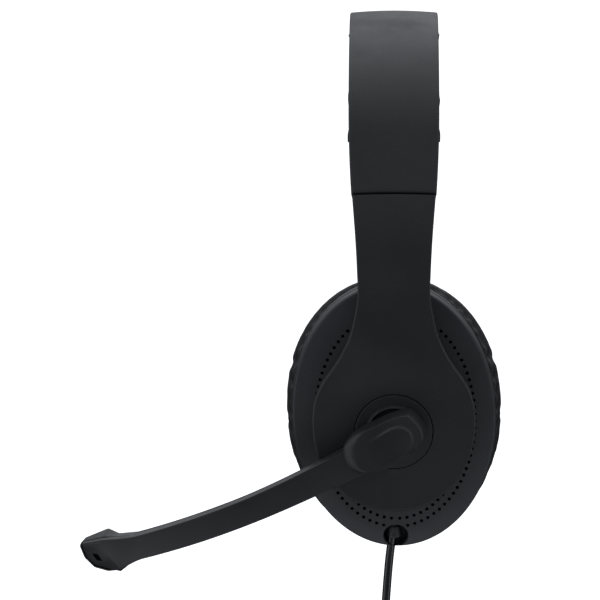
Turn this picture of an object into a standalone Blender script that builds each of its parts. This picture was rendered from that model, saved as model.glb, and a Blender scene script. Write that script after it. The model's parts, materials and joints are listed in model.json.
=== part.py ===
"""Office headset: over-ear stereo headset with a swinging microphone boom.

Frame: metres, +Z up, +X towards the wearer's left ear, -Y towards the wearer's
nose. The origin is on the underside of the head pad, below the crown, where the
headset rests on a head or a hook. Lengths below are in millimetres and are turned
into metres when an object is made.

Left and right halves mirror each other in X. Three sets of coordinates are used:
  side.band(along, y, depth)   along the outer line of the headband and arm, 0 at
                               the crown; depth is measured below that surface
  side.cup(back, up, out)      rearwards, up along the ear cup and outwards, zero on
                               the boom axis at the outer face of the arm
  boom(along, across, depth)   along the boom from its axis, across it towards its
                               upper edge, and below its face
A shape is a pair (verts, faces). A place is a function from three coordinates to
a point in space.
"""
import math

import bmesh
import bpy
from mathutils import Matrix, Vector

# ---- driving dimensions, millimetres and degrees ----
# outer line of headband and arm
CROWN_ABOVE_EARS = 151.46   # top of the headband above the ear cup centres
R_CROWN = 89.5              # headband radius over the crown
R_SHOULDER = 50.1           # headband radius at the shoulders
STRAIGHT = 24.0             # straight run that holds the height sliders
R_ARM = 125.0               # bend of the arm below the seam
ARM_FLAT = 22.0             # flat part of the arm above the boom axis
SHOULDER_DEG, SIDE_DEG, CUP_DEG = 40.0, 77.0, 107.5
SEAM_GAP = 0.5              # gap between headband and arm at rest

# headband; pairs of depths are (outer, inner)
BAND_HALF = 16.6            # half width of the headband shell
BAND_END_HALF = 15.5        # the same at the seam
TAPER_START = 86.0          # place along the band where it starts to narrow
SHELL_T = 2.0
SHELL_BEVEL = 1.3
SKIRT_WALL = 1.6
SKIRT_DEPTH = 4.7
SPRING_HALF, SPRING_DEPTHS = 7.0, (3.0, 3.9)
LINER_HALF, LINER_DEPTHS, LINER_END = 15.6, (5.0, 6.5), 99.7
PAD_HALF = 17.5
PAD_OUTER, PAD_INNER = 6.9, 14.0   # depths of the pad's two faces
PAD_END_T = 2.2             # thickness of the pad at its ends
PAD_FLAT = 8.0              # half length of the flat rest under the crown
PAD_STATIONS = (PAD_FLAT, 18.0, 28.0, 37.0, 46.0, 55.0, 64.0, 73.0, 82.0, 90.0, 97.6)
PAD_END = PAD_STATIONS[-1]
CROSSOVER_Y, CROSSOVER_DEPTH, CROSSOVER_R = 11.3, 3.4, 0.8
COVER_START, COVER_FACE = 100.2, 7.2   # place along the band and depth of inner face
COVER_SCREW_AT, COVER_SCREW_Y = 106.0, -10.4
# (along, outer depth)
DETENT_STATIONS = ((106.5, 4.45), (108.5, 4.4), (110.5, 4.2), (112.5, 4.4), (114.5, 4.45))
DETENT_HALF, DETENT_T = 3.0, 0.3

# height slider and arm
STRIP_HALF, STRIP_DEPTHS = 6.0, (3.2, 4.0)
STRIP_IN_BAND, STRIP_IN_ARM = 34.0, 18.0
# (height above the boom axis, half width of the arm)
ARM_POINTS = ((3.5, 29.8), (9.0, 29.4), (14.7, 27.8), (19.2, 25.5), (24.0, 22.2),
              (30.0, 18.7), (36.6, 15.9), (43.3, 14.35), (51.0, 13.2), (60.0, 13.4),
              (70.0, 13.9), (80.0, 14.6), (89.2, 15.3))
ARM_ROWS_UP, ARM_ROWS_DOWN = 15, 8   # rows above and below the widest place
SPADE_DROP = 34.6           # from the widest place of the arm to its lower end
SPADE_POWER = 2 / 2.08      # slightly squarer than an ellipse
ARM_FACE_T = 2.0
ARM_SKIRT_DEPTH = 4.05
ARM_SKIRT_WALL = 1.5
ARM_INNER_DEPTHS = (4.35, 5.9)
ARM_INNER_GAP = 0.25        # inner plate inside the arm's edge
ARM_SCREW_UP = 62.0         # arm screw above the boom axis

# boom disc, spindle and cup pivot
DISC_R = 14.1
SPINDLE_R = 5.5
TURNING_GAP = 0.3           # radial play around disc and spindle
BOSS_R = 12.5
BOSS_OUTS = (-5.0, -3.3)
PIVOT_OUT = -10.2           # the cup pivot lies behind the face of the arm
LUG_SPAN, LUG_HALF = (7.3, 9.1), 2.6
PIN_R, BORE_R = 1.1, 1.35
PIN_SPAN = (4.2, 9.0)       # pin ends, measured from the pivot
SPIDER_R, SPIDER_BORE, SPIDER_HALF = 5.6, 3.2, 1.2

# ear cup
CUP_A, CUP_B, CUP_UP = 37.5, 51.0, 1.1   # half width, half height, centre above the axis
CUP_LEAN = 3.0              # the oval leans forward at its top
PIT_R, PIT_FLOOR = 12.5, -14.9
PIT_EDGE_R = PIT_R + 1.5
WALL = 1.8
RIM_OUT, WALL_END_OUT = -15.0, -20.7
DOME_EDGE = 1.9             # inset at which the rounded edge meets the dome
# (inset from the rim, out) of the outer face
DOME_POINTS = ((0.0, RIM_OUT), (0.7, -14.0), (DOME_EDGE, -13.2), (5.0, -12.5), (9.0, -11.8),
               (14.0, -11.0), (20.0, -10.2), (25.0, -9.5))
CUSHION_A, CUSHION_B = 39.4, 49.9
CUSHION_PLATE_FACE, CUSHION_EAR_FACE = -22.6, -41.5
CUSHION_LEAN, CUSHION_POWER = 1.5, 2.12
CUSHION_UP = CUP_UP + 0.3
HOLE_A, HOLE_B = 20.0, 29.0
CUSHION_WALL = CUSHION_A - HOLE_A

# boom
BOOM_FACE_OUT = 6.6
BOOM_START, BOOM_LENGTH = 13.0, 106.0
BOOM_DEG, BOOM_CURL = 30.0, 0.085   # heading below horizontal, degrees per mm
BEND_START, BEND = 38.0, 0.0022     # inward bend: face drops BEND * distance ** 2
# (along, across) of the boom's upper and lower edges
BOOM_TOP = ((12.0, 4.5), (25.0, 4.25), (40.0, 3.95), (60.0, 3.55), (80.0, 3.4), (106.0, 3.15))
BOOM_FOOT = ((12.0, -7.0), (25.0, -6.7), (40.0, -6.35), (60.0, -6.25), (80.0, -6.25),
             (106.0, -6.2))
BOOM_DEEP = 6.0

# cable
NOTCH_BACK, NOTCH_UP, NOTCH_R = 0.7, -45.3, 4.4
NOTCH_OPEN_DEG = 30         # the arc runs this far below the notch's centre
CABLE_BACK = 0.1            # the cable leaves a little in front of the notch's centre
CABLE_OUT = -15.7
CABLE_R = 1.4
# (height against the ear cup centres, y, x)
CABLE_POINTS = ((-46.65, -0.85, 41.35), (-50.2, -1.15, 40.2), (-55.4, -1.75, 38.9),
                (-62.8, -2.4, 37.9), (-70.3, -2.95, 37.6), (-84.0, -3.8, 37.7),
                (-98.0, -4.1, 37.9), (-112.0, -4.2, 38.0), (-120.0, -4.2, 38.0))

LEFT, RIGHT = 1.0, -1.0


def rad(deg):
    return deg * math.pi / 180.0


# ---- heights: the flat rest under the crown is at zero ----
FLAT_ANGLE = PAD_FLAT / R_CROWN
CROWN_Z = R_CROWN * (1.0 - math.cos(FLAT_ANGLE)) + PAD_INNER * math.cos(FLAT_ANGLE)
EARS_Z = CROWN_Z - CROWN_ABOVE_EARS      # height of the ear cup centres

# ---- the outer line of headband and arm ----
# A bend is (radius, first angle, last angle), a straight run (None, angle, length).
SEGMENTS = (
    (R_CROWN, 0.0, SHOULDER_DEG),
    (R_SHOULDER, SHOULDER_DEG, SIDE_DEG),
    (None, SIDE_DEG, STRAIGHT),
    (R_ARM, SIDE_DEG, CUP_DEG),
    (None, CUP_DEG, 1000.0),
)
# places along the line: start of the straight run, seam, boom axis
SIDE_AT = R_CROWN * rad(SHOULDER_DEG) + R_SHOULDER * rad(SIDE_DEG - SHOULDER_DEG)
SEAM_AT = SIDE_AT + STRAIGHT
DISC_AT = SEAM_AT + R_ARM * rad(CUP_DEG - SIDE_DEG) + ARM_FLAT


def line(along):
    """x, z and the outward normal's angle from +Z, at a place on the outer line."""
    x, z, rest = 0.0, CROWN_Z, abs(along)
    for radius, first, last in SEGMENTS:
        start = rad(first)
        if radius is None:
            step = min(rest, last)
            angle = start
            x += step * math.cos(angle)
            z -= step * math.sin(angle)
        else:
            step = min(rest, radius * rad(last - first))
            angle = start + step / radius
            x += radius * (math.sin(angle) - math.sin(start))
            z -= radius * (math.cos(start) - math.cos(angle))
        rest -= step
        if rest <= 1e-9:
            break
    return x, z, angle


DISC_X, DISC_Z, DISC_ANGLE = line(DISC_AT)
LEAN_COS, LEAN_SIN = math.sin(DISC_ANGLE), -math.cos(DISC_ANGLE)


# ---- curves and outlines ----
def spread(start, end, count):
    return [start + (end - start) * i / count for i in range(count + 1)]


def mirrored(sign, span):
    """A (near, far) span on one side of zero, in rising order."""
    return sorted(sign * end for end in span)


def smooth(points, x):
    """Value at x of a Catmull-Rom curve through points sorted by their first value."""
    count = len(points)
    i = 0
    while i < count - 2 and x > points[i + 1][0]:
        i += 1
    x0, y0 = points[i]
    x1, y1 = points[i + 1]
    before = points[i - 1] if i > 0 else (2 * x0 - x1, 2 * y0 - y1)
    after = points[i + 2] if i + 2 < count else (2 * x1 - x0, 2 * y1 - y0)
    slope0 = (y1 - before[1]) / (x1 - before[0])
    slope1 = (after[1] - y0) / (after[0] - x0)
    width = x1 - x0
    f = (x - x0) / width
    return ((2 * f ** 3 - 3 * f ** 2 + 1) * y0
            + (f ** 3 - 2 * f ** 2 + f) * width * slope0
            + (-2 * f ** 3 + 3 * f ** 2) * y1
            + (f ** 3 - f ** 2) * width * slope1)


def arm_outline():
    """Edge of the arm as (along, half width), from the seam to the lower end."""
    top, top_half = ARM_POINTS[-1]
    widest, widest_half = ARM_POINTS[0]
    points = [(SEAM_AT + SEAM_GAP, top_half)]
    for up in spread(top, widest, ARM_ROWS_UP)[1:-1]:
        points.append((DISC_AT - up, smooth(ARM_POINTS, up)))
    for i in range(ARM_ROWS_DOWN):
        angle = 0.5 * math.pi * i / ARM_ROWS_DOWN
        up = widest - SPADE_DROP * math.sin(angle) ** SPADE_POWER
        points.append((DISC_AT - up, widest_half * math.cos(angle) ** SPADE_POWER))
    return points + [(DISC_AT - widest + SPADE_DROP, 0.0)]


def inset_outline(points, inset):
    """The outline moved inwards; it starts at a square end and closes at a pole."""
    moved = []
    last = len(points) - 1
    for i, (along, half) in enumerate(points):
        if i == 0:
            moved.append((along + inset, half - inset))
        elif i == last:
            moved.append((along - inset, 0.0))
        else:
            run = points[i + 1][0] - points[i - 1][0]
            rise = points[i + 1][1] - points[i - 1][1]
            size = math.hypot(run, rise)
            moved.append((along + inset * rise / size, half - inset * run / size))
    return moved


def inset_polygon(points, inset):
    """A counter-clockwise polygon moved inwards at each corner."""
    moved = []
    count = len(points)
    for i in range(count):
        before, corner, after = (Vector(points[(i + k) % count]) for k in (-1, 0, 1))
        edge0, edge1 = (corner - before).normalized(), (after - corner).normalized()
        normal0, normal1 = Vector((-edge0.y, edge0.x)), Vector((-edge1.y, edge1.x))
        way = normal0 + normal1
        way /= max(way.dot(normal0), 0.35)
        moved.append(tuple(corner + way * inset))
    return moved


def stations(end, step, corners=()):
    """Places from -end to end, about a step apart, that include the corners."""
    marks = sorted(set([-end, end] + [c for c in corners if abs(c) < end]))
    found = []
    for start, stop in zip(marks, marks[1:]):
        found += spread(start, stop, max(1, round((stop - start) / step)))[:-1]
    return found + [end]


def flat_section(half, depths):
    """Rectangle of (y, depth) for a flat strip."""
    outer, inner = depths
    return ((-half, outer), (half, outer), (half, inner), (-half, inner))


# ---- mesh makers ----
def mesh_of(name, shape):
    verts, faces = shape
    bm = bmesh.new()
    made = [bm.verts.new(v) for v in verts]
    for face in faces:
        bm.faces.new([made[i] for i in face])
    bmesh.ops.recalc_face_normals(bm, faces=bm.faces)
    bmesh.ops.scale(bm, vec=(0.001, 0.001, 0.001), verts=bm.verts)
    mesh = bpy.data.meshes.new(name)
    bm.to_mesh(mesh)
    bm.free()
    mesh.shade_smooth()
    mesh.set_sharp_from_angle(angle=rad(40.0))
    return mesh


def loft(rings, wrap=False):
    """Skin over rings of equal length; wrap joins the ends, otherwise they are capped."""
    count = len(rings[0])
    verts = [p for ring in rings for p in ring]
    faces = []
    for i in range(len(rings) if wrap else len(rings) - 1):
        here, there = i * count, ((i + 1) % len(rings)) * count
        for j in range(count):
            k = (j + 1) % count
            faces.append((here + j, here + k, there + k, there + j))
    if not wrap:
        faces.append(tuple(range(count - 1, -1, -1)))
        faces.append(tuple(range((len(rings) - 1) * count, len(rings) * count)))
    return verts, faces


def lathe(place, profile, count, turn=1.0):
    """A closed profile of (radius, height) turned about the place's third axis."""
    full = turn >= 1.0
    steps = count if full else count + 1
    verts, faces, index = [], [], []
    for radius, height in profile:
        if radius < 1e-6:
            index.append([len(verts)] * steps)
            verts.append(place(0.0, 0.0, height))
        else:
            index.append(list(range(len(verts), len(verts) + steps)))
            for i in range(steps):
                angle = 2 * math.pi * turn * i / count
                verts.append(place(radius * math.cos(angle), radius * math.sin(angle), height))
    for here, there in zip(index, index[1:] + index[:1]):
        for i in range(count):
            k = (i + 1) % steps
            # a pole repeats its vertex, so quads there shrink to triangles or vanish
            face = tuple(dict.fromkeys((here[i], here[k], there[k], there[i])))
            if len(face) > 2:
                faces.append(face)
    if not full:
        faces.append(tuple(row[0] for row in index))
        faces.append(tuple(row[-1] for row in reversed(index)))
    return verts, faces


def cylinder(place, radius, ends, count, bore=0.0, turn=1.0):
    start, end = ends
    return lathe(place, ((bore, start), (radius, start), (radius, end), (bore, end)), count, turn)


def block(place, *spans):
    """A box between three (from, to) spans of a place's coordinates."""
    (u0, u1), (v0, v1), ends = spans
    return loft([[place(u, v, w) for u, v in ((u0, v0), (u1, v0), (u1, v1), (u0, v1))]
                 for w in ends])


def tube(path, radius, count):
    """A round rod along a path of points."""
    rings = []
    side = Vector((0.0, 1.0, 0.0))
    for i, point in enumerate(path):
        heading = (path[min(i + 1, len(path) - 1)] - path[max(i - 1, 0)]).normalized()
        side = (side - heading * side.dot(heading)).normalized()
        other = heading.cross(side)
        angles = [2 * math.pi * k / count for k in range(count)]
        rings.append([point + radius * (side * math.cos(a) + other * math.sin(a))
                      for a in angles])
    return loft(rings)


def slab(place, outline, layers, columns=4):
    """A plate over an outline with a square end and a pole.

    layers are (inset, depth), from one face over the edge to the other face.
    """
    last = len(outline) - 1
    fractions = [-1 + 2 * j / columns for j in range(columns + 1)]
    verts, faces = [], []

    def add(rows, i, f, depth):
        along, half = rows[i]
        verts.append(place(along, half * f, depth))
        return len(verts) - 1

    def face_grid(inset, depth):
        rows = inset_outline(outline, inset)
        index = [[add(rows, i, f, depth) for f in fractions] for i in range(last)]
        index.append([add(rows, last, 0.0, depth)] * (columns + 1))
        for i in range(last):
            for j in range(columns):
                face = (index[i][j], index[i][j + 1], index[i + 1][j + 1], index[i + 1][j])
                faces.append(face if i < last - 1 else face[:3])
        return index

    edge = [(i, 0) for i in range(last + 1)]
    edge += [(i, columns) for i in range(last - 1, -1, -1)]
    edge += [(0, j) for j in range(columns - 1, 0, -1)]
    grid = face_grid(*layers[0])
    loops = [[grid[i][j] for i, j in edge]]
    for inset, depth in layers[1:-1]:
        rows = inset_outline(outline, inset)
        loops.append([add(rows, i, fractions[j], depth) for i, j in edge])
    grid = face_grid(*layers[-1])
    loops.append([grid[i][j] for i, j in edge])
    for here, there in zip(loops, loops[1:]):
        for k in range(len(edge)):
            m = (k + 1) % len(edge)
            faces.append((here[k], here[m], there[m], there[k]))
    return verts, faces


# ---- materials and objects ----
# base colour, roughness, metallic
MATERIALS = {
    "matte_black": ((0.030, 0.031, 0.034, 1.0), 0.58, 0.0),
    "satin_grey": ((0.043, 0.045, 0.049, 1.0), 0.45, 0.0),
    "leatherette": ((0.022, 0.022, 0.024, 1.0), 0.62, 0.0),
    "rubber": ((0.016, 0.016, 0.017, 1.0), 0.75, 0.0),
    "cloth": ((0.020, 0.020, 0.022, 1.0), 0.95, 0.0),
    "steel": ((0.56, 0.57, 0.58, 1.0), 0.32, 1.0),
    "nickel": ((0.66, 0.62, 0.55, 1.0), 0.25, 1.0),
    "film": ((0.55, 0.50, 0.38, 1.0), 0.35, 0.0),
    "acetal": ((0.62, 0.62, 0.60, 1.0), 0.50, 0.0),
    "copper": ((0.60, 0.24, 0.09, 1.0), 0.35, 1.0),
}


def finish_of(name, kind):
    colour, roughness, metallic = MATERIALS[kind]
    material = bpy.data.materials.new(name + "_" + kind)
    material.use_nodes = True
    bsdf = material.node_tree.nodes["Principled BSDF"]
    bsdf.inputs["Base Color"].default_value = colour
    bsdf.inputs["Roughness"].default_value = roughness
    bsdf.inputs["Metallic"].default_value = metallic
    return material


class Frame:
    """An empty on a joint's axis that carries the pieces of one moving body."""

    def __init__(self, name, where, parent=None):
        self.at = where * 0.001
        self.empty = bpy.data.objects.new(name, None)
        self.empty.empty_display_size = 0.01
        bpy.context.scene.collection.objects.link(self.empty)
        self.empty.location = self.at - (parent.at if parent else Vector())
        if parent:
            self.empty.parent = parent.empty


def node(name, shape, kind, frame):
    mesh = mesh_of(name, shape)
    mesh.transform(Matrix.Translation(-frame.at))
    made = bpy.data.objects.new(name, mesh)
    bpy.context.scene.collection.objects.link(made)
    made.parent = frame.empty
    mesh.materials.append(finish_of(name, kind))
    return made


def change(target, name, shape, operation):
    """Apply a helper shape, which stays in the scene hidden from renders."""
    helper = bpy.data.objects.new(name, mesh_of(name, shape))
    bpy.context.scene.collection.objects.link(helper)
    helper.hide_render = True
    helper.display_type = "WIRE"
    modifier = target.modifiers.new(name, "BOOLEAN")
    modifier.operation = operation
    modifier.solver = "EXACT"
    modifier.object = helper


def cut(target, name, shape):
    change(target, name, shape, "DIFFERENCE")


def join(target, name, shape):
    change(target, name, shape, "UNION")


class Side:
    """One half of the headset: its frames and its coordinates."""

    def __init__(self, sign, tag):
        self.sign = sign
        self.tag = tag
        slide = self.band(SEAM_AT, 0.0, 0.5 * sum(STRIP_DEPTHS))
        pivot = self.cup(0.0, 0.0, PIVOT_OUT)
        self.arm_frame = Frame(tag + "_arm_frame", slide, root)
        self.pivot_frame = Frame(tag + "_pivot_frame", pivot, self.arm_frame)
        self.cup_frame = Frame(tag + "_cup_frame", pivot, self.pivot_frame)

    def band(self, along, y, depth):
        x, z, angle = line(along)
        turn = self.sign if along >= 0 else -self.sign
        return Vector((turn * (x - depth * math.sin(angle)), y, z - depth * math.cos(angle)))

    def band_ring(self, along, section):
        return [self.band(along, y, depth) for y, depth in section]

    def strip(self, along, y, depth):
        """The slider is straight above the seam and follows the arm below it."""
        if along >= SEAM_AT:
            return self.band(along, y, depth)
        x, z, angle = line(SEAM_AT)
        above = SEAM_AT - along
        x -= above * math.cos(angle) + depth * math.sin(angle)
        z += above * math.sin(angle) - depth * math.cos(angle)
        return Vector((self.sign * x, y, z))

    def cup(self, back, up, out):
        return Vector((self.sign * (DISC_X + up * LEAN_SIN + out * LEAN_COS), back,
                       DISC_Z + up * LEAN_COS - out * LEAN_SIN))

    def along_back(self, x, y, z):
        """Place whose third axis runs rearwards through the cup pivot."""
        return self.cup(z, x, PIVOT_OUT + y)

    def along_up(self, x, y, z):
        """Place whose third axis runs up the cup through the cup pivot."""
        return self.cup(x, z, PIVOT_OUT + y)

    def band_place(self, along, y, depth):
        """Place with its zero at a point of the band; its third axis runs deeper."""
        return lambda u, v, w: self.band(along + u, y + v, depth + w)

    def cup_loop(self, half_width, half_height, centre_up, out, count=32, lean=CUP_LEAN,
                 power=2.0):
        """An oval around the cup, leaning forward at its top."""
        lean_cos, lean_sin = math.cos(rad(lean)), math.sin(rad(lean))
        points = []
        for i in range(count):
            angle = 2 * math.pi * i / count
            c, s = math.cos(angle), math.sin(angle)
            x = half_width * math.copysign(abs(c) ** (2 / power), c)
            y = half_height * math.copysign(abs(s) ** (2 / power), s)
            points.append(self.cup(x * lean_cos - y * lean_sin,
                                   centre_up + x * lean_sin + y * lean_cos, out))
        return points

    def dome_loops(self, drop, start, end, steps, count=32):
        """Loops below the dome's face, between two insets from the rim.

        They change from the cup's oval to the circle of the pit.
        """
        loops = []
        pit_inset = CUP_A - PIT_EDGE_R
        for inset in spread(start, end, steps):
            f = min(max((inset - DOME_EDGE) / (pit_inset - DOME_EDGE), 0.0), 1.0)
            half_height = CUP_B - inset + (PIT_EDGE_R - (CUP_B - pit_inset)) * f * f
            out = smooth(DOME_POINTS, min(inset, DOME_POINTS[-1][0]))
            loops.append(self.cup_loop(CUP_A - inset, half_height, CUP_UP * (1 - f),
                                       out - drop, count))
        return loops


for old in list(bpy.data.objects):
    bpy.data.objects.remove(old, do_unlink=True)

root = Frame("headband_frame", Vector((0.0, 0.0, 0.0)))
left = Side(LEFT, "left")
right = Side(RIGHT, "right")


# ---- headband ----
BAND_CORNERS = (-SIDE_AT, -SIDE_AT + 10, 0.0, SIDE_AT - 10, SIDE_AT)


def shell_section(along):
    """A crowned face with bevelled edges and a skirt on each side."""
    f = min(max((abs(along) - TAPER_START) / (SEAM_AT - TAPER_START), 0.0), 1.0)
    half = BAND_HALF - (BAND_HALF - BAND_END_HALF) * f * f
    inner = half - SKIRT_WALL
    bevel = SHELL_BEVEL
    return ((-half, SKIRT_DEPTH), (-half, bevel), (-half + bevel * 0.35, bevel * 0.4),
            (-half + bevel, 0.12), (-half * 0.5, -0.25), (0.0, -0.35),
            (half * 0.5, -0.25), (half - bevel, 0.12), (half - bevel * 0.35, bevel * 0.4),
            (half, bevel), (half, SKIRT_DEPTH), (inner, SKIRT_DEPTH), (inner, SHELL_T),
            (-inner, SHELL_T), (-inner, SKIRT_DEPTH))


def pad_section(along):
    """The padded strip under the band: full over the crown, thin at its ends."""
    full = min(max((PAD_END - abs(along)) / 22.0, 0.0), 1.0)
    thick = PAD_END_T + (PAD_INNER - PAD_OUTER - PAD_END_T) * math.sin(0.5 * math.pi * full)
    deep = PAD_OUTER + thick
    half = PAD_HALF - 0.8 * (1.0 - full) - 0.006 * max(abs(along) - 40.0, 0.0)
    mid = 0.5 * (PAD_OUTER + deep)
    return ((-half * 0.93, PAD_OUTER), (half * 0.93, PAD_OUTER), (half, mid - 1.2),
            (half, mid + 0.8), (half * 0.86, deep - 0.6), (half * 0.5, deep),
            (-half * 0.5, deep), (-half * 0.86, deep - 0.6), (-half, mid + 0.8),
            (-half, mid - 1.2))


def headband():
    rings = [left.band_ring(s, shell_section(s)) for s in stations(SEAM_AT, 8.0, BAND_CORNERS)]
    node("headband_shell", loft(rings), "satin_grey", root)

    # the spring stops just short of the sliders
    section = flat_section(SPRING_HALF, SPRING_DEPTHS)
    rings = [left.band_ring(s, section) for s in stations(SEAM_AT - STRIP_IN_BAND - 1.5, 10.0)]
    node("headband_spring", loft(rings), "steel", root)

    section = flat_section(LINER_HALF, LINER_DEPTHS)
    rings = [left.band_ring(s, section) for s in stations(LINER_END, 9.0, BAND_CORNERS)]
    node("headband_liner", loft(rings), "matte_black", root)

    places = [-s for s in reversed(PAD_STATIONS)] + list(PAD_STATIONS)
    rings = [left.band_ring(s, pad_section(s)) for s in places]
    node("headband_cushion", loft(rings), "leatherette", root)

    path = [left.band(s, CROSSOVER_Y, CROSSOVER_DEPTH) for s in stations(SEAM_AT - 6.0, 10.0)]
    node("crossover_cable", tube(path, CROSSOVER_R, 6), "rubber", root)


headband()


# ---- pieces that both sides have ----
def screw(target, names, place, hole_bottom, neck, top, frame):
    """A hole in the target and the sunk screw in it; names are (hole, screw)."""
    cut(target, names[0], cylinder(place, 2.15, (hole_bottom, 1), 12))
    tip = hole_bottom - 0.4
    profile = ((0, tip), (0.85, tip), (0.85, neck), (1.85, neck + 0.1),
               (1.85, top - 0.3), (1.3, top), (0, top))
    node(names[1], lathe(place, profile, 10), "steel", frame)


def band_end(side):
    """Cover on the inside of the headband's end, its screw and the height detent."""
    tag = side.tag
    end = SEAM_AT - 0.2
    rings = []
    for f in (0.0, 0.3, 0.65, 1.0):
        half = LINER_HALF - 0.5 * f
        rings.append(side.band_ring(COVER_START + (end - COVER_START) * f, (
            (-half, LINER_DEPTHS[0]), (half, LINER_DEPTHS[0]), (half, COVER_FACE - 0.9),
            (half - 0.9, COVER_FACE), (-half + 0.9, COVER_FACE), (-half, COVER_FACE - 0.9))))
    cover = node(tag + "_band_end_cover", loft(rings), "matte_black", root)
    screw(cover, (tag + "_cut_end_screw", tag + "_band_end_screw"),
          side.band_place(COVER_SCREW_AT, COVER_SCREW_Y, COVER_FACE),
          hole_bottom=-4, neck=-1.6, top=-0.4, frame=root)

    rings = [side.band_ring(s, flat_section(DETENT_HALF, (depth, depth + DETENT_T)))
             for s, depth in DETENT_STATIONS]
    node(tag + "_detent_spring", loft(rings), "steel", root)


def slider(side):
    rings = [[side.strip(SEAM_AT + s, y, depth)
              for y, depth in flat_section(STRIP_HALF, STRIP_DEPTHS)]
             for s in (-STRIP_IN_BAND, 0.0, 6.0, 12.0, STRIP_IN_ARM)]
    node(side.tag + "_slider_strip", loft(rings), "steel", side.arm_frame)


def arm(side):
    """Outer shell of the arm, and its inner plate with boss and lugs."""
    tag, frame = side.tag, side.arm_frame
    outline = arm_outline()
    layers = ((1.3, -0.1), (0.5, 0.35), (0.0, 1.1), (0.0, ARM_SKIRT_DEPTH),
              (ARM_SKIRT_WALL, ARM_SKIRT_DEPTH), (ARM_SKIRT_WALL, ARM_FACE_T))
    outer = node(tag + "_arm_outer", slab(side.band, outline, layers), "matte_black", frame)
    cut(outer, tag + "_cut_slider",
        block(side.band, (SEAM_AT - 1.0, SEAM_AT + 4.0), (-6.4, 6.4), (4.5, 2.8)))
    cut(outer, tag + "_cut_disc", cylinder(side.cup, DISC_R + TURNING_GAP, (-3, 2), 28))

    near, far = ARM_INNER_DEPTHS
    layers = ((0.9, far), (0.0, far - 0.8), (0.0, near), (0.9, near))
    inner = node(tag + "_arm_inner",
                 slab(side.band, inset_outline(outline, ARM_INNER_GAP), layers),
                 "matte_black", frame)
    join(inner, tag + "_add_boss", cylinder(side.cup, BOSS_R, BOSS_OUTS, 22))
    for name, sign in (("front", -1), ("rear", 1)):
        join(inner, tag + "_add_lug_" + name,
             block(side.cup, mirrored(sign, LUG_SPAN), (-LUG_HALF, LUG_HALF),
                   (-11.7, BOSS_OUTS[0])))
    cut(inner, tag + "_cut_spindle", cylinder(side.cup, SPINDLE_R + TURNING_GAP, (-7, -2), 18))
    cut(inner, tag + "_cut_pin", cylinder(side.along_back, BORE_R, (-14, 14), 12))
    screw(inner, (tag + "_cut_arm_screw", tag + "_arm_screw"),
          side.band_place(DISC_AT - ARM_SCREW_UP, 0.0, far),
          hole_bottom=-3, neck=-1.45, top=-0.3, frame=frame)


def pivot_cross(side):
    """A ring with two pins in the arm's lugs and two in the cup's lugs."""
    tag = side.tag
    outs = (PIVOT_OUT - SPIDER_HALF, PIVOT_OUT + SPIDER_HALF)
    spider = node(tag + "_pivot_spider",
                  cylinder(side.cup, SPIDER_R, outs, 16, bore=SPIDER_BORE),
                  "acetal", side.pivot_frame)
    for name, place in (("u", side.along_back), ("v", side.along_up)):
        for end, sign in (("a", -1), ("b", 1)):
            join(spider, tag + "_add_pin_" + name + end,
                 cylinder(place, PIN_R, mirrored(sign, PIN_SPAN), 10))


def cup_mount(side):
    """A washer on the floor of the cup's pit, with the lower and upper pivot lugs."""
    tag = side.tag
    mount = node(tag + "_cup_mount", cylinder(side.cup, 11.6, (-14.6, -13.6), 20, bore=3.0),
                 "acetal", side.cup_frame)
    for name, sign in (("low", -1), ("high", 1)):
        join(mount, tag + "_add_mount_" + name,
             block(side.cup, (-LUG_HALF, LUG_HALF), mirrored(sign, LUG_SPAN), (-14.0, -8.6)))
    cut(mount, tag + "_cut_mount_pin", cylinder(side.along_up, BORE_R, (-11, 11), 12))


def cup_housing(side):
    """The ear cup: one shell with a round pit for the pivot."""
    loops = [side.cup_loop(radius, radius, 0.0, out)
             for radius, out in ((PIT_R - 0.01, PIT_FLOOR), (PIT_R, -10.4))]
    loops += reversed(side.dome_loops(0.0, DOME_EDGE, CUP_A - PIT_R - 0.8, 4))
    for inset, out in ((0.7, -14.0), (0.0, RIM_OUT), (0.0, WALL_END_OUT),
                       (WALL, WALL_END_OUT), (WALL, -15.6)):
        loops.append(side.cup_loop(CUP_A - inset, CUP_B - inset, CUP_UP, out))
    loops += side.dome_loops(WALL, 3.6, CUP_A - PIT_R - 3.2, 3)
    loops.append(side.cup_loop(PIT_EDGE_R, PIT_EDGE_R, 0.0, PIT_FLOOR - 1.3))
    housing = node(side.tag + "_cup_housing", loft(loops), "satin_grey", side.cup_frame)
    cut(housing, side.tag + "_cut_lead", cylinder(side.cup, 2.6, (-18, -13), 14))
    return housing


def vent_felt(side):
    """A thin band of felt under the dome."""
    outer, inner = (side.dome_loops(WALL + gap, 5.5, 15.0, 2, 28) for gap in (0.6, 1.1))
    return node(side.tag + "_vent_felt", loft(outer + inner[::-1], wrap=True), "cloth",
                side.cup_frame)


def plate(side, name, size, hole, outs):
    """An oval plate with a hole; size and hole are (half width, half height)."""
    corners = ((size, outs[0]), (hole, outs[0]), (hole, outs[1]), (size, outs[1]))
    rings = [side.cup_loop(*halves, CUP_UP, out, 28) for halves, out in corners]
    node(side.tag + name, loft(rings, wrap=True), "matte_black", side.cup_frame)


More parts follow.
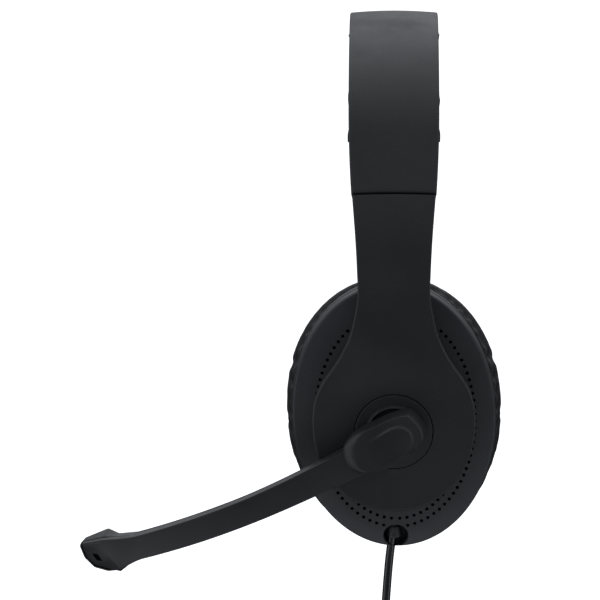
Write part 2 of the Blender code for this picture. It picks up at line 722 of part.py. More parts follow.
# (radius, out)
DRIVER_FRAME = ((9.6, -17.5), (16.5, -17.5), (18.6, -19.0), (18.6, -21.0), (20.5, -21.0),
                (20.5, -22.0), (17.6, -22.0), (17.6, -19.4), (16.0, -18.4), (9.6, -18.4))
DRIVER_MAGNET = ((0, -16.5), (8.2, -16.5), (9.3, -17.1), (9.3, -20.5), (0, -20.5))
DRIVER_DIAPHRAGM = ((0, -20.9), (6.0, -21.6), (8.0, -22.4), (12.0, -21.9), (17.2, -22.4),
                    (17.2, -22.8), (12.0, -22.3), (8.0, -22.8), (6.0, -22.0), (0, -21.3))


def driver(side):
    def place(back, up, out):
        return side.cup(back, up + CUP_UP, out)

    for name, profile, count, kind in (("_driver_frame", DRIVER_FRAME, 20, "matte_black"),
                                       ("_driver_magnet", DRIVER_MAGNET, 20, "steel"),
                                       ("_driver_diaphragm", DRIVER_DIAPHRAGM, 16, "film")):
        node(side.tag + name, lathe(place, profile, count), kind, side.cup_frame)


# section of the cushion as (inset from its outer oval, out)
CUSHION_PROFILE = ((0.55, CUSHION_PLATE_FACE), (-0.2, -24.5), (0.0, -28.5), (1.4, -33.5),
                   (5.2, -38.6), (9.6, CUSHION_EAR_FACE), (14.6, CUSHION_EAR_FACE),
                   (18.6, -37.6), (CUSHION_WALL, -31.0), (CUSHION_WALL, CUSHION_PLATE_FACE))


def ear_cushion(side):
    """A plain padded ring, and the cloth across its hole."""
    def ring(half_width, half_height, out, count):
        return side.cup_loop(half_width, half_height, CUSHION_UP, out, count, CUSHION_LEAN,
                             CUSHION_POWER)

    rings = []
    for inset, out in CUSHION_PROFILE:
        f = max(inset / CUSHION_WALL, 0.0)
        half_height = CUSHION_B - inset - (CUSHION_B - CUSHION_WALL - HOLE_B) * f
        rings.append(ring(CUSHION_A - inset, half_height, out, 32))
    node(side.tag + "_ear_cushion", loft(rings, wrap=True), "leatherette", side.cup_frame)
    rings = [ring(HOLE_A - 0.5, HOLE_B - 0.5, out, 24) for out in (-23.5, -24.1)]
    node(side.tag + "_ear_scrim", loft(rings), "cloth", side.cup_frame)


def make_side(side):
    """All the pieces of one side; returns the cup's housing and felt."""
    band_end(side)
    slider(side)
    arm(side)
    pivot_cross(side)
    cup_mount(side)
    housing = cup_housing(side)
    felt = vent_felt(side)
    inside = WALL + 0.3
    plate(side, "_baffle", (CUP_A - inside, CUP_B - inside), (19.0, 19.0), (-19.2, WALL_END_OUT))
    plate(side, "_cushion_plate", (CUP_A - 0.9, CUP_B - 3.2), (22.0, 31.0), (-21.0, -22.3))
    driver(side)
    ear_cushion(side)
    return housing, felt


left_housing, left_felt = make_side(left)
make_side(right)


# ---- boom disc, right cap, and their washers and clips ----
# (radius, out)
GROOVE_R = 4.8
SPINDLE = ((GROOVE_R, -7.5), (SPINDLE_R, -7.3), (SPINDLE_R, -6.85), (GROOVE_R, -6.8),
           (GROOVE_R, -6.05), (SPINDLE_R, -6.0), (SPINDLE_R, -2.0))
DISC_EDGE = ((DISC_R, -2.0), (DISC_R, 0.1), (DISC_R - 0.4, 0.45), (10.4, 0.6))
BOOM_DISC_FACE = ((10.1, 1.75), (9.8, 1.95), (9.4, 1.9), (9.1, 0.9), (2.2, 1.0), (2.2, -7.5))
CAP_FACE = ((10.1, 1.6), (9.8, 1.8), (6.0, 2.0), (0.0, 2.1))

boom_frame = Frame("boom_frame", left.cup(0.0, 0.0, 0.0), left.arm_frame)


def disc(side, names, profile, frame):
    """A disc on its spindle; names are those of the disc, its washer and its clip."""
    node(names[0], lathe(side.cup, profile, 26), "matte_black", frame)
    node(names[1], cylinder(side.cup, 11.8, (-3.0, -2.35), 20, bore=6.1), "acetal", frame)
    node(names[2], cylinder(side.cup, 7.0, (-6.7, -6.15), 16, bore=5.05, turn=0.84),
         "steel", frame)


disc(left, ("boom_disc", "boom_friction_washer", "boom_clip"),
     SPINDLE + DISC_EDGE + BOOM_DISC_FACE, boom_frame)
disc(right, ("right_disc_cap", "right_cap_washer", "right_cap_clip"),
     ((0, -7.5),) + SPINDLE + DISC_EDGE + CAP_FACE, right.arm_frame)


# ---- boom ----
def boom(along, across, depth):
    """A point of the boom: its line curves gently up and in towards the mouth."""
    curl = rad(BOOM_CURL)
    start, heading = rad(BOOM_DEG), rad(BOOM_DEG - BOOM_CURL * along)
    past = max(along - BEND_START, 0.0)
    slope = math.atan(2 * BEND * past)
    shift = depth * math.sin(slope)
    back = (math.sin(heading) - math.sin(start)) / curl
    up = (math.cos(start) - math.cos(heading)) / curl
    back += shift * math.cos(heading) - across * math.sin(heading)
    up += shift * math.sin(heading) + across * math.cos(heading)
    return left.cup(back, up, BOOM_FACE_OUT - BEND * past ** 2 - depth * math.cos(slope))


def boom_place(along, across):
    """Place with its zero on the boom's face; its third axis runs out of the face."""
    return lambda u, v, w: boom(along + u, across + v, -w)


def boom_outer_section(along):
    """A shallow channel: flat face, skirts that draw in a little, open behind."""
    top, foot = smooth(BOOM_TOP, along), smooth(BOOM_FOOT, along)
    return ((foot + 0.2, 4.6), (foot, 0.6), (foot + 0.5, 0.0), (top - 0.35, 0.0), (top, 0.35),
            (top - 0.3, 4.6), (top - 1.7, 4.6), (top - 1.5, 1.8), (foot + 1.5, 1.8),
            (foot + 1.6, 4.6))


def boom_inner_section(along):
    top, foot = smooth(BOOM_TOP, along) - 0.35, smooth(BOOM_FOOT, along) + 0.25
    return ((foot, 4.9), (top, 4.9), (top, 5.5), (top - 0.5, BOOM_DEEP),
            (foot + 0.6, BOOM_DEEP), (foot, 5.4))


def boom_loft(section, start, steps):
    return loft([[boom(s, across, depth) for across, depth in section(s)]
                 for s in spread(start, BOOM_LENGTH, steps)])


# outline over the disc as (back, up), and its layers as (inset, out)
PADDLE = ((12.0, 1.3), (11.3, 5.4), (8.9, 9.6), (6.2, 11.5), (3.4, 11.3), (-1.4, 9.7),
          (-11.3, 4.8), (-16.2, 0.4), (-18.9, -4.6), (-19.4, -9.6), (-17.4, -14.9),
          (-12.0, -14.2), (-4.1, -12.5), (1.8, -9.0), (7.1, -5.4), (11.0, -1.4))
PADDLE_LAYERS = ((0.0, 2.5), (0.0, 6.4), (0.7, 7.6), (1.9, 8.4), (2.6, 8.5))

boom_outer = node("boom_outer", boom_loft(boom_outer_section, BOOM_START, 14),
                  "matte_black", boom_frame)
join(boom_outer, "add_paddle",
     loft([[left.cup(back, up, out) for back, up in inset_polygon(PADDLE, inset)]
           for inset, out in PADDLE_LAYERS]))
node("boom_inner", boom_loft(boom_inner_section, BOOM_START + 2.2, 13),
     "matte_black", boom_frame)
wire_path = [boom(s, -1.4, 3.3) for s in spread(24.0, BOOM_LENGTH - 1.0, 8)]
node("boom_wire", tube(wire_path, 0.75, 6), "copper", boom_frame)

# ---- microphone end ----
# The boom's shell widens into a faceted face with the port, and a deeper back
# shell closes it. Face and edge are (along, across, depth), the back (along, across).
MIC_FACE = ((105.0, 3.1, 0.0), (105.0, -6.0, 0.0), (108.3, -6.4, 0.0), (111.7, -7.2, 0.0),
            (115.3, -8.1, 0.0), (115.8, -6.6, 0.0), (116.7, -3.6, 0.0), (118.7, -0.2, 0.0),
            (120.2, 2.3, 0.1), (119.4, 3.6, 0.1), (117.9, 4.5, 0.0), (112.0, 3.6, 0.0))
MIC_EDGE = ((105.0, 2.9, 0.35), (105.0, -6.0, 0.35), (108.3, -6.4, 0.35),
            (111.7, -7.2, 0.35), (115.6, -8.7, 0.5), (119.8, -7.6, 1.2), (124.8, -5.2, 1.6),
            (127.0, -2.0, 1.6), (127.2, 2.3, 1.5), (126.4, 4.7, 0.9), (118.3, 4.7, 0.35),
            (112.0, 3.7, 0.35))
MIC_EDGE_END = 2.4          # depth to which the edge runs
MIC_BACK = ((106.4, 2.9), (106.4, -6.1), (108.4, -6.4), (111.7, -7.2), (115.8, -9.0),
            (121.4, -8.5), (126.1, -6.1), (128.4, -1.6), (128.5, 3.4), (127.3, 4.8),
            (118.0, 4.9), (112.4, 3.7))
# (inset, depth), from the floor inside over the edge to the back
MIC_COVER_LAYERS = ((1.0, 7.2), (1.0, 2.7), (0.0, 2.7), (0.3, 7.3), (1.2, 8.2))

join(boom_outer, "add_mic_face",
     loft([[boom(*point) for point in MIC_FACE], [boom(*point) for point in MIC_EDGE],
           [boom(along, across, MIC_EDGE_END) for along, across, _ in MIC_EDGE]]))
at_port = boom_place(122.4, -1.9)
at_capsule = boom_place(120.2, -1.4)
cut(boom_outer, "cut_mic_port", block(at_port, (-0.85, 0.85), (-1.6, 1.6), (-3.0, 1.0)))
node("mic_grille", cylinder(at_port, 2.3, (-3.0, -2.7), 14), "cloth", boom_frame)
node("mic_element", cylinder(at_capsule, 3.6, (-6.3, -3.4), 20), "nickel", boom_frame)
node("mic_boot", cylinder(at_capsule, 4.7, (-6.5, -3.5), 20, bore=3.9), "rubber", boom_frame)
node("mic_cover",
     loft([[boom(along, across, depth) for along, across in inset_polygon(MIC_BACK, inset)]
           for inset, depth in MIC_COVER_LAYERS]), "matte_black", boom_frame)

# ---- cable: leaves a round notch at the foot of the left cup ----
# (radius, distance up from the notch's centre)
STRAIN_RELIEF = ((0, -1.1), (2.1, -1.1), (2.3, -0.8), (2.05, 1.7), (1.8, 3.1), (1.3, 3.1),
                 (1.3, 7.6), (0, 7.6))


def along_cable(x, y, z):
    return left.cup(CABLE_BACK + x, NOTCH_UP + z, CABLE_OUT + y)


def notch():
    """An arc of a circle, open downwards past the foot of the cup."""
    first = -NOTCH_OPEN_DEG
    points = [(NOTCH_R * math.cos(rad(deg)), NOTCH_R * math.sin(rad(deg)))
              for deg in range(first, 181 - first, 12)]
    half = NOTCH_R * math.cos(rad(NOTCH_OPEN_DEG))
    points += [(-half, -10.0), (half, -10.0)]
    return loft([[left.cup(NOTCH_BACK + x, NOTCH_UP + y, out) for x, y in points]
                 for out in (-18.3, -9.0)])


cut(left_felt, "cut_felt",
    block(left.cup, (-5.9, 7.9), (NOTCH_UP - 5.2, NOTCH_UP + 8.4), (-20.0, -10.0)))
join(left_housing, "add_notch_walls",
     block(left.cup, (-5.4, 7.4), (NOTCH_UP - 1.0, NOTCH_UP + 6.0), (-18.9, -13.4)))
cut(left_housing, "cut_notch", notch())
cut(left_housing, "cut_cable", cylinder(along_cable, 1.6, (0.8, 8.8), 16))
node("strain_relief", lathe(along_cable, STRAIN_RELIEF, 20), "rubber", left.cup_frame)


def cable_path():
    """Points at even steps of height; x and y follow the set points."""
    xs = [(-height, x) for height, _, x in CABLE_POINTS]
    ys = [(-height, y) for height, y, _ in CABLE_POINTS]
    return [Vector((smooth(xs, -height), smooth(ys, -height), height + EARS_Z))
            for height in spread(CABLE_POINTS[0][0], CABLE_POINTS[-1][0], 16)]


node("cable", tube(cable_path(), CABLE_R, 10), "rubber", left.cup_frame)

# ---- plug ----
_, PLUG_Y, PLUG_X = CABLE_POINTS[-1]
# (half size in x, half size in y, corner radius, height against the ear cup centres)
PLUG_BODY = ((2.4, 2.4, 1.6, -120.3), (2.8, 3.2, 1.8, -128.0), (3.6, 7.2, 2.0, -131.0),
             (4.0, 7.8, 2.0, -134.0), (4.0, 7.8, 2.0, -150.0), (3.6, 7.4, 1.8, -151.0))
PLUG_SHELL = ((2.25, 6.0, 0.6, -151.3), (2.25, 6.0, 0.6, -163.0),
              (1.9, 5.65, 0.4, -163.0), (1.9, 5.65, 0.4, -152.6))


def rounded(half_x, half_y, radius, height):
    """A level rectangle around the plug's axis with rounded corners."""
    points = []
    for sign_x, sign_y, start in ((1, 1, 0), (-1, 1, 90), (-1, -1, 180), (1, -1, 270)):
        for k in range(3):
            angle = rad(start + 45 * k)
            x = PLUG_X + sign_x * (half_x - radius) + radius * math.cos(angle)
            y = PLUG_Y + sign_y * (half_y - radius) + radius * math.sin(angle)
            points.append(Vector((x, y, height + EARS_Z)))
    return points


node("plug_body", loft([rounded(*row) for row in PLUG_BODY]), "matte_black", left.cup_frame)
node("plug_shell", loft([rounded(*row) for row in PLUG_SHELL]), "nickel", left.cup_frame)
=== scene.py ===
"""Office headset with a microphone boom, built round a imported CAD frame.

+X is the wearer's left, -Y is the way the wearer faces and +Z is up. The boom hangs on
the left arm and points forward. Shape functions work in millimetres; objects are made
in metres. Three functions turn a piece's own coordinates into x, y, z:
band()  run along the headband from the crown, y, depth towards the head
cup()   y, height up the leaning cup and distance out from the head, about the pivot disc
boom()  distance along the boom, height across it, depth towards the head
"""
import json
from functools import partial
from math import atan, copysign, cos, hypot, pi, radians, sin, sqrt

import bmesh
import bpy
import numpy as np
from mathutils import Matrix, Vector
from mathutils.geometry import delaunay_2d_cdt

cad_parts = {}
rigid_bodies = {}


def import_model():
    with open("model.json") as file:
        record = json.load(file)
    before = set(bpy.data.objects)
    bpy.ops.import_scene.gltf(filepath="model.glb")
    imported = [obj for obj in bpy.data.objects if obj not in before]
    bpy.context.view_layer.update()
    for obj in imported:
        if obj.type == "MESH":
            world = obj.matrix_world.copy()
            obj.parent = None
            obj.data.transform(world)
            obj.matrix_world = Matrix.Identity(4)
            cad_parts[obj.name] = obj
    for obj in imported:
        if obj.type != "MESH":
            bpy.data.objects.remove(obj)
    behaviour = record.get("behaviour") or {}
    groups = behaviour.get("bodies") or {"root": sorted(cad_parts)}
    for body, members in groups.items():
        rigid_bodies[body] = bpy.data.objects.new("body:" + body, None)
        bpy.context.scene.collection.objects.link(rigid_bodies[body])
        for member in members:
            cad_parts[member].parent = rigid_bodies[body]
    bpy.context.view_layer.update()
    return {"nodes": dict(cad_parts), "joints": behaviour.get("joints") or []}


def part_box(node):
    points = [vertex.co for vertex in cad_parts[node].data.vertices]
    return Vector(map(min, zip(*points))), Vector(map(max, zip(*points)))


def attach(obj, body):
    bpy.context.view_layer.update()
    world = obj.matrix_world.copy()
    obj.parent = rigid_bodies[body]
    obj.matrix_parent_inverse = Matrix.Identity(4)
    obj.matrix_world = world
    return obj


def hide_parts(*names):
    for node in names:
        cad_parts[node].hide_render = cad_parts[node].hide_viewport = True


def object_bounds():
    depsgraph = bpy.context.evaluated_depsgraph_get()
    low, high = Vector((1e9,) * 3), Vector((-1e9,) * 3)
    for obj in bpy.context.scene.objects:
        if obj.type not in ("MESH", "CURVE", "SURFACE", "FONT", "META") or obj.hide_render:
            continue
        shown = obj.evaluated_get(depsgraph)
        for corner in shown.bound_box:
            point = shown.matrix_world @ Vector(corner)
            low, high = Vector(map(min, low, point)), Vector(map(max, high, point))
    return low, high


for old in list(bpy.data.objects):
    bpy.data.objects.remove(old, do_unlink=True)
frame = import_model()
RNG = np.random.default_rng(7)

LEFT, RIGHT = 1.0, -1.0

# ------------------------------------------------------------------ main sizes
# Outer line of headband and arm: crown arc, shoulder arc, straight side, arm arc, flat.
CROWN_R, SHOULDER_R, ARM_R = 89.5, 50.1, 125.0
CROWN_DEG, SIDE_DEG, ARM_DEG = 40.0, 77.0, 107.5     # slope where each arc ends
SIDE_LENGTH, ARM_FLAT = 24.0, 22.0                   # straight side; flat above the disc
CROWN_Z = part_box("headband_shell")[1].z * 1000.0 - 0.35
EARS_Z = CROWN_Z - 151.46                            # height the cable is measured from
SEAM_RUN = CROWN_R * radians(CROWN_DEG) + SHOULDER_R * radians(SIDE_DEG - CROWN_DEG) + SIDE_LENGTH
DISC_RUN = SEAM_RUN + ARM_R * radians(ARM_DEG - SIDE_DEG) + ARM_FLAT

BAND_HALF, BAND_END_HALF = 16.6, 15.5                # half widths at the crown and the seam
SEAM_BOW = 0.4                                       # rise of the seam at mid width
DISC_R = 14.1
CUP_A, CUP_B, CUP_UP, CUP_LEAN = 37.5, 51.0, 1.1, 3.0    # half axes, centre, lean in degrees
WALL = 1.8
PIT_R = 12.5                                         # round pit in the middle of the cup
BOOM_DEG, BOOM_CURL, BOOM_LENGTH = 30.0, 0.085, 106.0    # start angle, degrees lost a mm
BOOM_OUT, TUCK_START, TUCK = 6.6, 38.0, 0.0022       # the boom curves in past TUCK_START


# ------------------------------------------------------------------ coordinates
# radius (None for a straight), slope at the start, slope at the end or length
SEGMENTS = ((CROWN_R, 0.0, CROWN_DEG), (SHOULDER_R, CROWN_DEG, SIDE_DEG),
            (None, SIDE_DEG, SIDE_LENGTH), (ARM_R, SIDE_DEG, ARM_DEG), (None, ARM_DEG, 1000.0))


def band_line(run):
    """x, z and slope of the outer line on the left side."""
    x, z, rest, angle = 0.0, CROWN_Z, abs(run), 0.0
    for radius, start, end in SEGMENTS:
        if radius is None:
            step = min(rest, end)
            angle = radians(start)
            x += step * cos(angle)
            z -= step * sin(angle)
        else:
            step = min(rest, radius * radians(end - start))
            angle = radians(start) + step / radius
            x += radius * (sin(angle) - sin(radians(start)))
            z -= radius * (cos(radians(start)) - cos(angle))
        rest -= step
        if rest <= 1e-9:
            break
    return x, z, angle


def band(side, run, y, depth):
    x, z, slope = band_line(run)
    turn = side if run >= 0 else -side
    return turn * (x - depth * sin(slope)), y, z - depth * cos(slope)


def strip_point(side, run, y, depth):
    """Like band(), but above the seam it goes straight on along the seam's slope."""
    if run >= SEAM_RUN:
        return band(side, run, y, depth)
    x, z, slope = band_line(SEAM_RUN)
    back = SEAM_RUN - run
    x -= back * cos(slope) + depth * sin(slope)
    z += back * sin(slope) - depth * cos(slope)
    return side * x, y, z


DISC_JOINT = next(joint for joint in frame["joints"] if joint["name"] == "boom_rotate")
DISC_AT = Vector(DISC_JOINT["pos_m"]) * 1000.0
DISC_AXIS = Vector(DISC_JOINT["axis"])
DISC_X, DISC_Z = DISC_AT.x, DISC_AT.z
LEAN_COS, LEAN_SIN = DISC_AXIS.x, -DISC_AXIS.z


def cup(side, y, up, out):
    return (side * (DISC_X + up * LEAN_SIN + out * LEAN_COS), y,
            DISC_Z + up * LEAN_COS - out * LEAN_SIN)


def cup_many(side, points):
    return np.stack(cup(side, points[..., 0], points[..., 1], points[..., 2]), -1)


def boom(along, up, depth):
    curl = radians(BOOM_CURL)
    start, here = radians(BOOM_DEG), radians(BOOM_DEG - BOOM_CURL * along)
    past = max(along - TUCK_START, 0.0)
    slope = atan(2 * TUCK * past)
    y = -(sin(start) - sin(here)) / curl - sin(here) * up + cos(here) * depth * sin(slope)
    height = -(cos(here) - cos(start)) / curl + cos(here) * up + sin(here) * depth * sin(slope)
    return cup(LEFT, y, height, BOOM_OUT - TUCK * past ** 2 - depth * cos(slope))


def shifted(place, *origin):
    """The same coordinates counted from another origin."""
    return lambda *point: place(*(p + o for p, o in zip(point, origin)))


at_left = partial(cup, LEFT)
at_right = partial(cup, RIGHT)


# ------------------------------------------------------------------ curves and outlines
def curve_at(points, x):
    """Smooth curve through (x, value) points."""
    count = len(points)
    i = 0
    while i < count - 2 and x > points[i + 1][0]:
        i += 1
    x0, y0 = points[i]
    x1, y1 = points[i + 1]
    before = points[i - 1] if i > 0 else (2 * x0 - x1, 2 * y0 - y1)
    after = points[i + 2] if i + 2 < count else (2 * x1 - x0, 2 * y1 - y0)
    slope0 = (y1 - before[1]) / (x1 - before[0])
    slope1 = (after[1] - y0) / (after[0] - x0)
    width = x1 - x0
    f = (x - x0) / width
    return ((2 * f ** 3 - 3 * f ** 2 + 1) * y0 + (f ** 3 - 2 * f ** 2 + f) * width * slope0
            + (-2 * f ** 3 + 3 * f ** 2) * y1 + (f ** 3 - f ** 2) * width * slope1)


def catmull(p, f):
    """Point at fraction f between p[1] and p[2]."""
    return 0.5 * (2 * p[1] + (p[2] - p[0]) * f + (2 * p[0] - 5 * p[1] + 4 * p[2] - p[3]) * f * f
                  + (3 * p[1] - p[0] - 3 * p[2] + p[3]) * f ** 3)


def smoothstep(x, low, high):
    f = np.clip((np.asarray(x, float) - low) / (high - low), 0.0, 1.0)
    return f * f * (3 - 2 * f)


def arc(centre_x, centre_y, radius, start, end, steps):
    angles = [radians(start + (end - start) * i / steps) for i in range(steps + 1)]
    return [(centre_x + radius * cos(a), centre_y + radius * sin(a)) for a in angles]


def mirrored(section):
    """A (y, depth) run followed by its mirror image."""
    return section + [(-y, depth) for y, depth in reversed(section)]


def round_corner(before, corner, after, radius, share, steps):
    """Curve in place of a corner; it takes at most a share of each neighbouring edge."""
    before, corner, after = Vector(before), Vector(corner), Vector(after)
    back, ahead = before - corner, after - corner
    cut = min(radius, back.length * share, ahead.length * share)
    start = corner + back.normalized() * cut
    end = corner + ahead.normalized() * cut
    return [tuple((1 - f) ** 2 * start + 2 * f * (1 - f) * corner + f * f * end)
            for f in (i / steps for i in range(steps + 1))]


def rounded_profile(points, radius, steps=4):
    """An open profile with its inner corners rounded."""
    out = [points[0]]
    for before, corner, after in zip(points, points[1:], points[2:]):
        out += round_corner(before, corner, after, radius, 0.45, steps)
    return out + [points[-1]]


def round_polygon(points, radii, steps):
    """A closed polygon with its corners rounded; radii is one number or one a corner."""
    count = len(points)
    if not isinstance(radii, (list, tuple)):
        radii = [radii] * count
    out = []
    for i in range(count):
        near = [points[(i + k) % count] for k in (-1, 0, 1)]
        out += round_corner(*near, radii[i], 0.47, steps)
    return out


def inset_polygon(points, inset):
    count = len(points)
    moved = []
    for i in range(count):
        before, here, after = (Vector(points[(i + k) % count]) for k in (-1, 0, 1))
        coming, going = (here - before).normalized(), (after - here).normalized()
        normal = Vector((-coming.y, coming.x))
        way = normal + Vector((-going.y, going.x))
        way /= max(way.dot(normal), 0.35)
        moved.append(tuple(here + way * inset))
    return moved


def by_angle(points, centre, count):
    """Resamples a closed outline at even angles about a point inside it."""
    centre = Vector(centre)
    corners = [Vector(p) - centre for p in points]
    out = []
    for i in range(count):
        angle = 2 * pi * i / count
        way = Vector((cos(angle), sin(angle)))
        reach = 0.0
        for k, p in enumerate(corners):
            edge = corners[(k + 1) % len(corners)] - p
            det = way.y * edge.x - way.x * edge.y
            if abs(det) < 1e-9:
                continue
            distance = (p.y * edge.x - p.x * edge.y) / det
            part = (way.x * p.y - way.y * p.x) / det
            if distance > 0 and -1e-9 <= part <= 1 + 1e-9:
                reach = max(reach, distance)
        out.append(centre + way * reach)
    return out


def segment_distance(point, start, end):
    start, end, point = Vector(start), Vector(end), Vector(point)
    edge = end - start
    f = min(max((point - start).dot(edge) / edge.length_squared, 0.0), 1.0)
    return (point - start - edge * f).length


# ------------------------------------------------------------------ shapes
# A shape is a pair (points, faces).
def quads(one, two):
    """Faces between two closed loops of point numbers."""
    count = len(one)
    return [(one[i], one[(i + 1) % count], two[(i + 1) % count], two[i]) for i in range(count)]


def loft(rings, wrap=False):
    """Skin over closed rings; the ends are capped unless the last ring joins the first."""
    size, count = len(rings[0]), len(rings)
    verts = [p for ring in rings for p in ring]
    loops = [list(range(i * size, (i + 1) * size)) for i in range(count)]
    faces = []
    for i in range(count if wrap else count - 1):
        faces += quads(loops[i], loops[(i + 1) % count])
    if not wrap:
        faces += [tuple(reversed(loops[0])), tuple(loops[-1])]
    return verts, faces


def lathe(place, profile, steps, closed=False):
    """Turns a (radius, height) profile; closed joins its last point to its first."""
    verts, loops = [], []
    for radius, height in profile:
        if radius < 1e-6:
            loops.append([len(verts)] * steps)
            verts.append(place(0.0, 0.0, height))
        else:
            loops.append(list(range(len(verts), len(verts) + steps)))
            for i in range(steps):
                angle = 2 * pi * i / steps
                verts.append(place(radius * cos(angle), radius * sin(angle), height))
    pairs = list(zip(loops, loops[1:]))
    if closed:
        pairs.append((loops[-1], loops[0]))
    faces = []
    for one, two in pairs:
        for quad in quads(one, two):
            face = tuple(dict.fromkeys(quad))
            if len(face) > 2:
                faces.append(face)
    return verts, faces


def tube(path, radius, steps):
    path = [Vector(p) for p in path]
    rings = []
    side = Vector((0.0, 1.0, 0.0))
    for i, point in enumerate(path):
        way = (path[min(i + 1, len(path) - 1)] - path[max(i - 1, 0)]).normalized()
        side = (side - way * side.dot(way)).normalized()
        other = way.cross(side)
        angles = [2 * pi * k / steps for k in range(steps)]
        rings.append([tuple(point + radius * (side * cos(a) + other * sin(a))) for a in angles])
    return loft(rings)


def block(place, x0, x1, y0, y1, z0, z1):
    corners = ((x0, y0), (x1, y0), (x1, y1), (x0, y1))
    return loft([[place(x, y, z) for x, y in corners] for z in (z0, z1)])


def merged(shapes):
    verts, faces = [], []
    for more_verts, more_faces in shapes:
        faces += [tuple(i + len(verts) for i in face) for face in more_faces]
        verts += list(more_verts)
    return verts, faces


def bmesh_of(shape, scale=1.0):
    verts, faces = shape
    bm = bmesh.new()
    made = [bm.verts.new([float(value) * scale for value in point]) for point in verts]
    for face in faces:
        # Guards against a face with a repeated corner or one that is already there.
        try:
            bm.faces.new([made[i] for i in face])
        except ValueError:
            pass
    loose = [v for v in bm.verts if not v.link_faces]
    bmesh.ops.delete(bm, geom=loose, context="VERTS")
    bmesh.ops.recalc_face_normals(bm, faces=bm.faces)
    return bm


def object_of(name, bm):
    mesh = bpy.data.meshes.new(name)
    bm.to_mesh(mesh)
    bm.free()
    obj = bpy.data.objects.new(name, mesh)
    bpy.context.scene.collection.objects.link(obj)
    return obj


def shade(obj, sharp):
    """Smooth shading with creases above an angle in degrees."""
    obj.data.shade_smooth()
    obj.data.set_sharp_from_angle(angle=radians(sharp))


def shaded_object(name, shape, sharp=32.0):
    obj = object_of(name, bmesh_of(shape, 0.001))
    shade(obj, sharp)
    return obj


def piece(name, shape, material, body, node=None, sharp=32.0):
    """A finished piece that rides on a body and may stand in for a CAD node."""
    obj = shaded_object(name, shape, sharp)
    obj.data.materials.append(material)
    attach(obj, body)
    if node:
        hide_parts(node)
    return obj


def boolean(obj, shapes, operation="DIFFERENCE", sharp=32.0):
    """Cuts or joins helper shapes for good; nothing is left in the scene."""
    for shape in shapes:
        helper = shaded_object("helper_cut", shape)
        modifier = obj.modifiers.new("cut", "BOOLEAN")
        modifier.operation = operation
        modifier.solver = "EXACT"
        modifier.object = helper
        bpy.context.view_layer.update()
        graph = bpy.context.evaluated_depsgraph_get()
        mesh = bpy.data.meshes.new_from_object(obj.evaluated_get(graph))
        obj.modifiers.clear()
        old_mesh = obj.data
        obj.data = mesh
        mesh.name = old_mesh.name
        bpy.data.meshes.remove(old_mesh)
        bpy.data.objects.remove(helper, do_unlink=True)
    shade(obj, sharp)
    while len(obj.data.materials) > 1:
        obj.data.materials.pop()
    for polygon in obj.data.polygons:
        polygon.material_index = 0


# ------------------------------------------------------------------ shader nodes
class Shader:
    """Adds nodes to a tree; at is the coordinate its patterns are read from."""

    def __init__(self, tree, coordinate):
        self.tree = tree
        self.at = self.node("TexCoord").outputs[coordinate]

    def node(self, kind, **settings):
        made = self.tree.nodes.new("ShaderNode" + kind)
        for key, value in settings.items():
            setattr(made, key, value)
        return made

    def feed(self, inputs, values):
        """Links or sets inputs, given as {input: socket or value}."""
        for key, value in values.items():
            if isinstance(value, bpy.types.NodeSocket):
                self.tree.links.new(value, inputs[key])
            else:
                inputs[key].default_value = value

    def noise(self, scale, detail=3.0, rough=0.55, vector=None, out="Fac"):
        made = self.node("TexNoise")
        self.feed(made.inputs, {"Scale": scale, "Detail": detail, "Roughness": rough,
                                "Vector": vector or self.at})
        return made.outputs[out]

    def remap(self, value, source, target=(0.0, 1.0)):
        made = self.node("MapRange")
        self.feed(made.inputs, dict(enumerate((value, *source, *target))))
        return made.outputs[0]

    def patches(self, scale, low=0.0, high=1.0):
        """Slow, soft-edged patches between two values."""
        return self.remap(self.noise(scale, detail=4.0), (0.35, 0.65), (low, high))

    def math(self, operation, *values):
        made = self.node("Math", operation=operation)
        self.feed(made.inputs, dict(enumerate(values)))
        return made.outputs[0]

    def times(self, one, two):
        return self.math("MULTIPLY", one, two)

    def mix(self, factor, one, two):
        """Mixes two colours, each a socket or an (r, g, b)."""
        made = self.node("Mix", data_type="RGBA")
        one, two = ((*c, 1.0) if isinstance(c, tuple) else c for c in (one, two))
        self.feed(made.inputs, {0: factor, 6: one, 7: two})
        return made.outputs[2]

    def bump(self, height, distance, strength, normal=None):
        """Bump of a depth in metres, laid over another one's normal if given."""
        made = self.node("Bump")
        self.feed(made.inputs, {"Distance": distance, "Strength": strength, "Height": height})
        if normal is not None:
            self.feed(made.inputs, {"Normal": normal})
        return made.outputs[0]


def new_material(name):
    """A material holding one Principled node; returns its shader and a way to feed it."""
    material = bpy.data.materials.new(name)
    material.use_nodes = True
    tree = material.node_tree
    tree.nodes.clear()
    out = tree.nodes.new("ShaderNodeOutputMaterial")
    bsdf = tree.nodes.new("ShaderNodeBsdfPrincipled")
    tree.links.new(bsdf.outputs[0], out.inputs[0])
    shader = Shader(tree, "Object")
    return material, shader, partial(shader.feed, bsdf.inputs)


def tint(colour, gain, lift=0.0):
    return tuple(min(1.0, channel * gain + lift) for channel in colour)


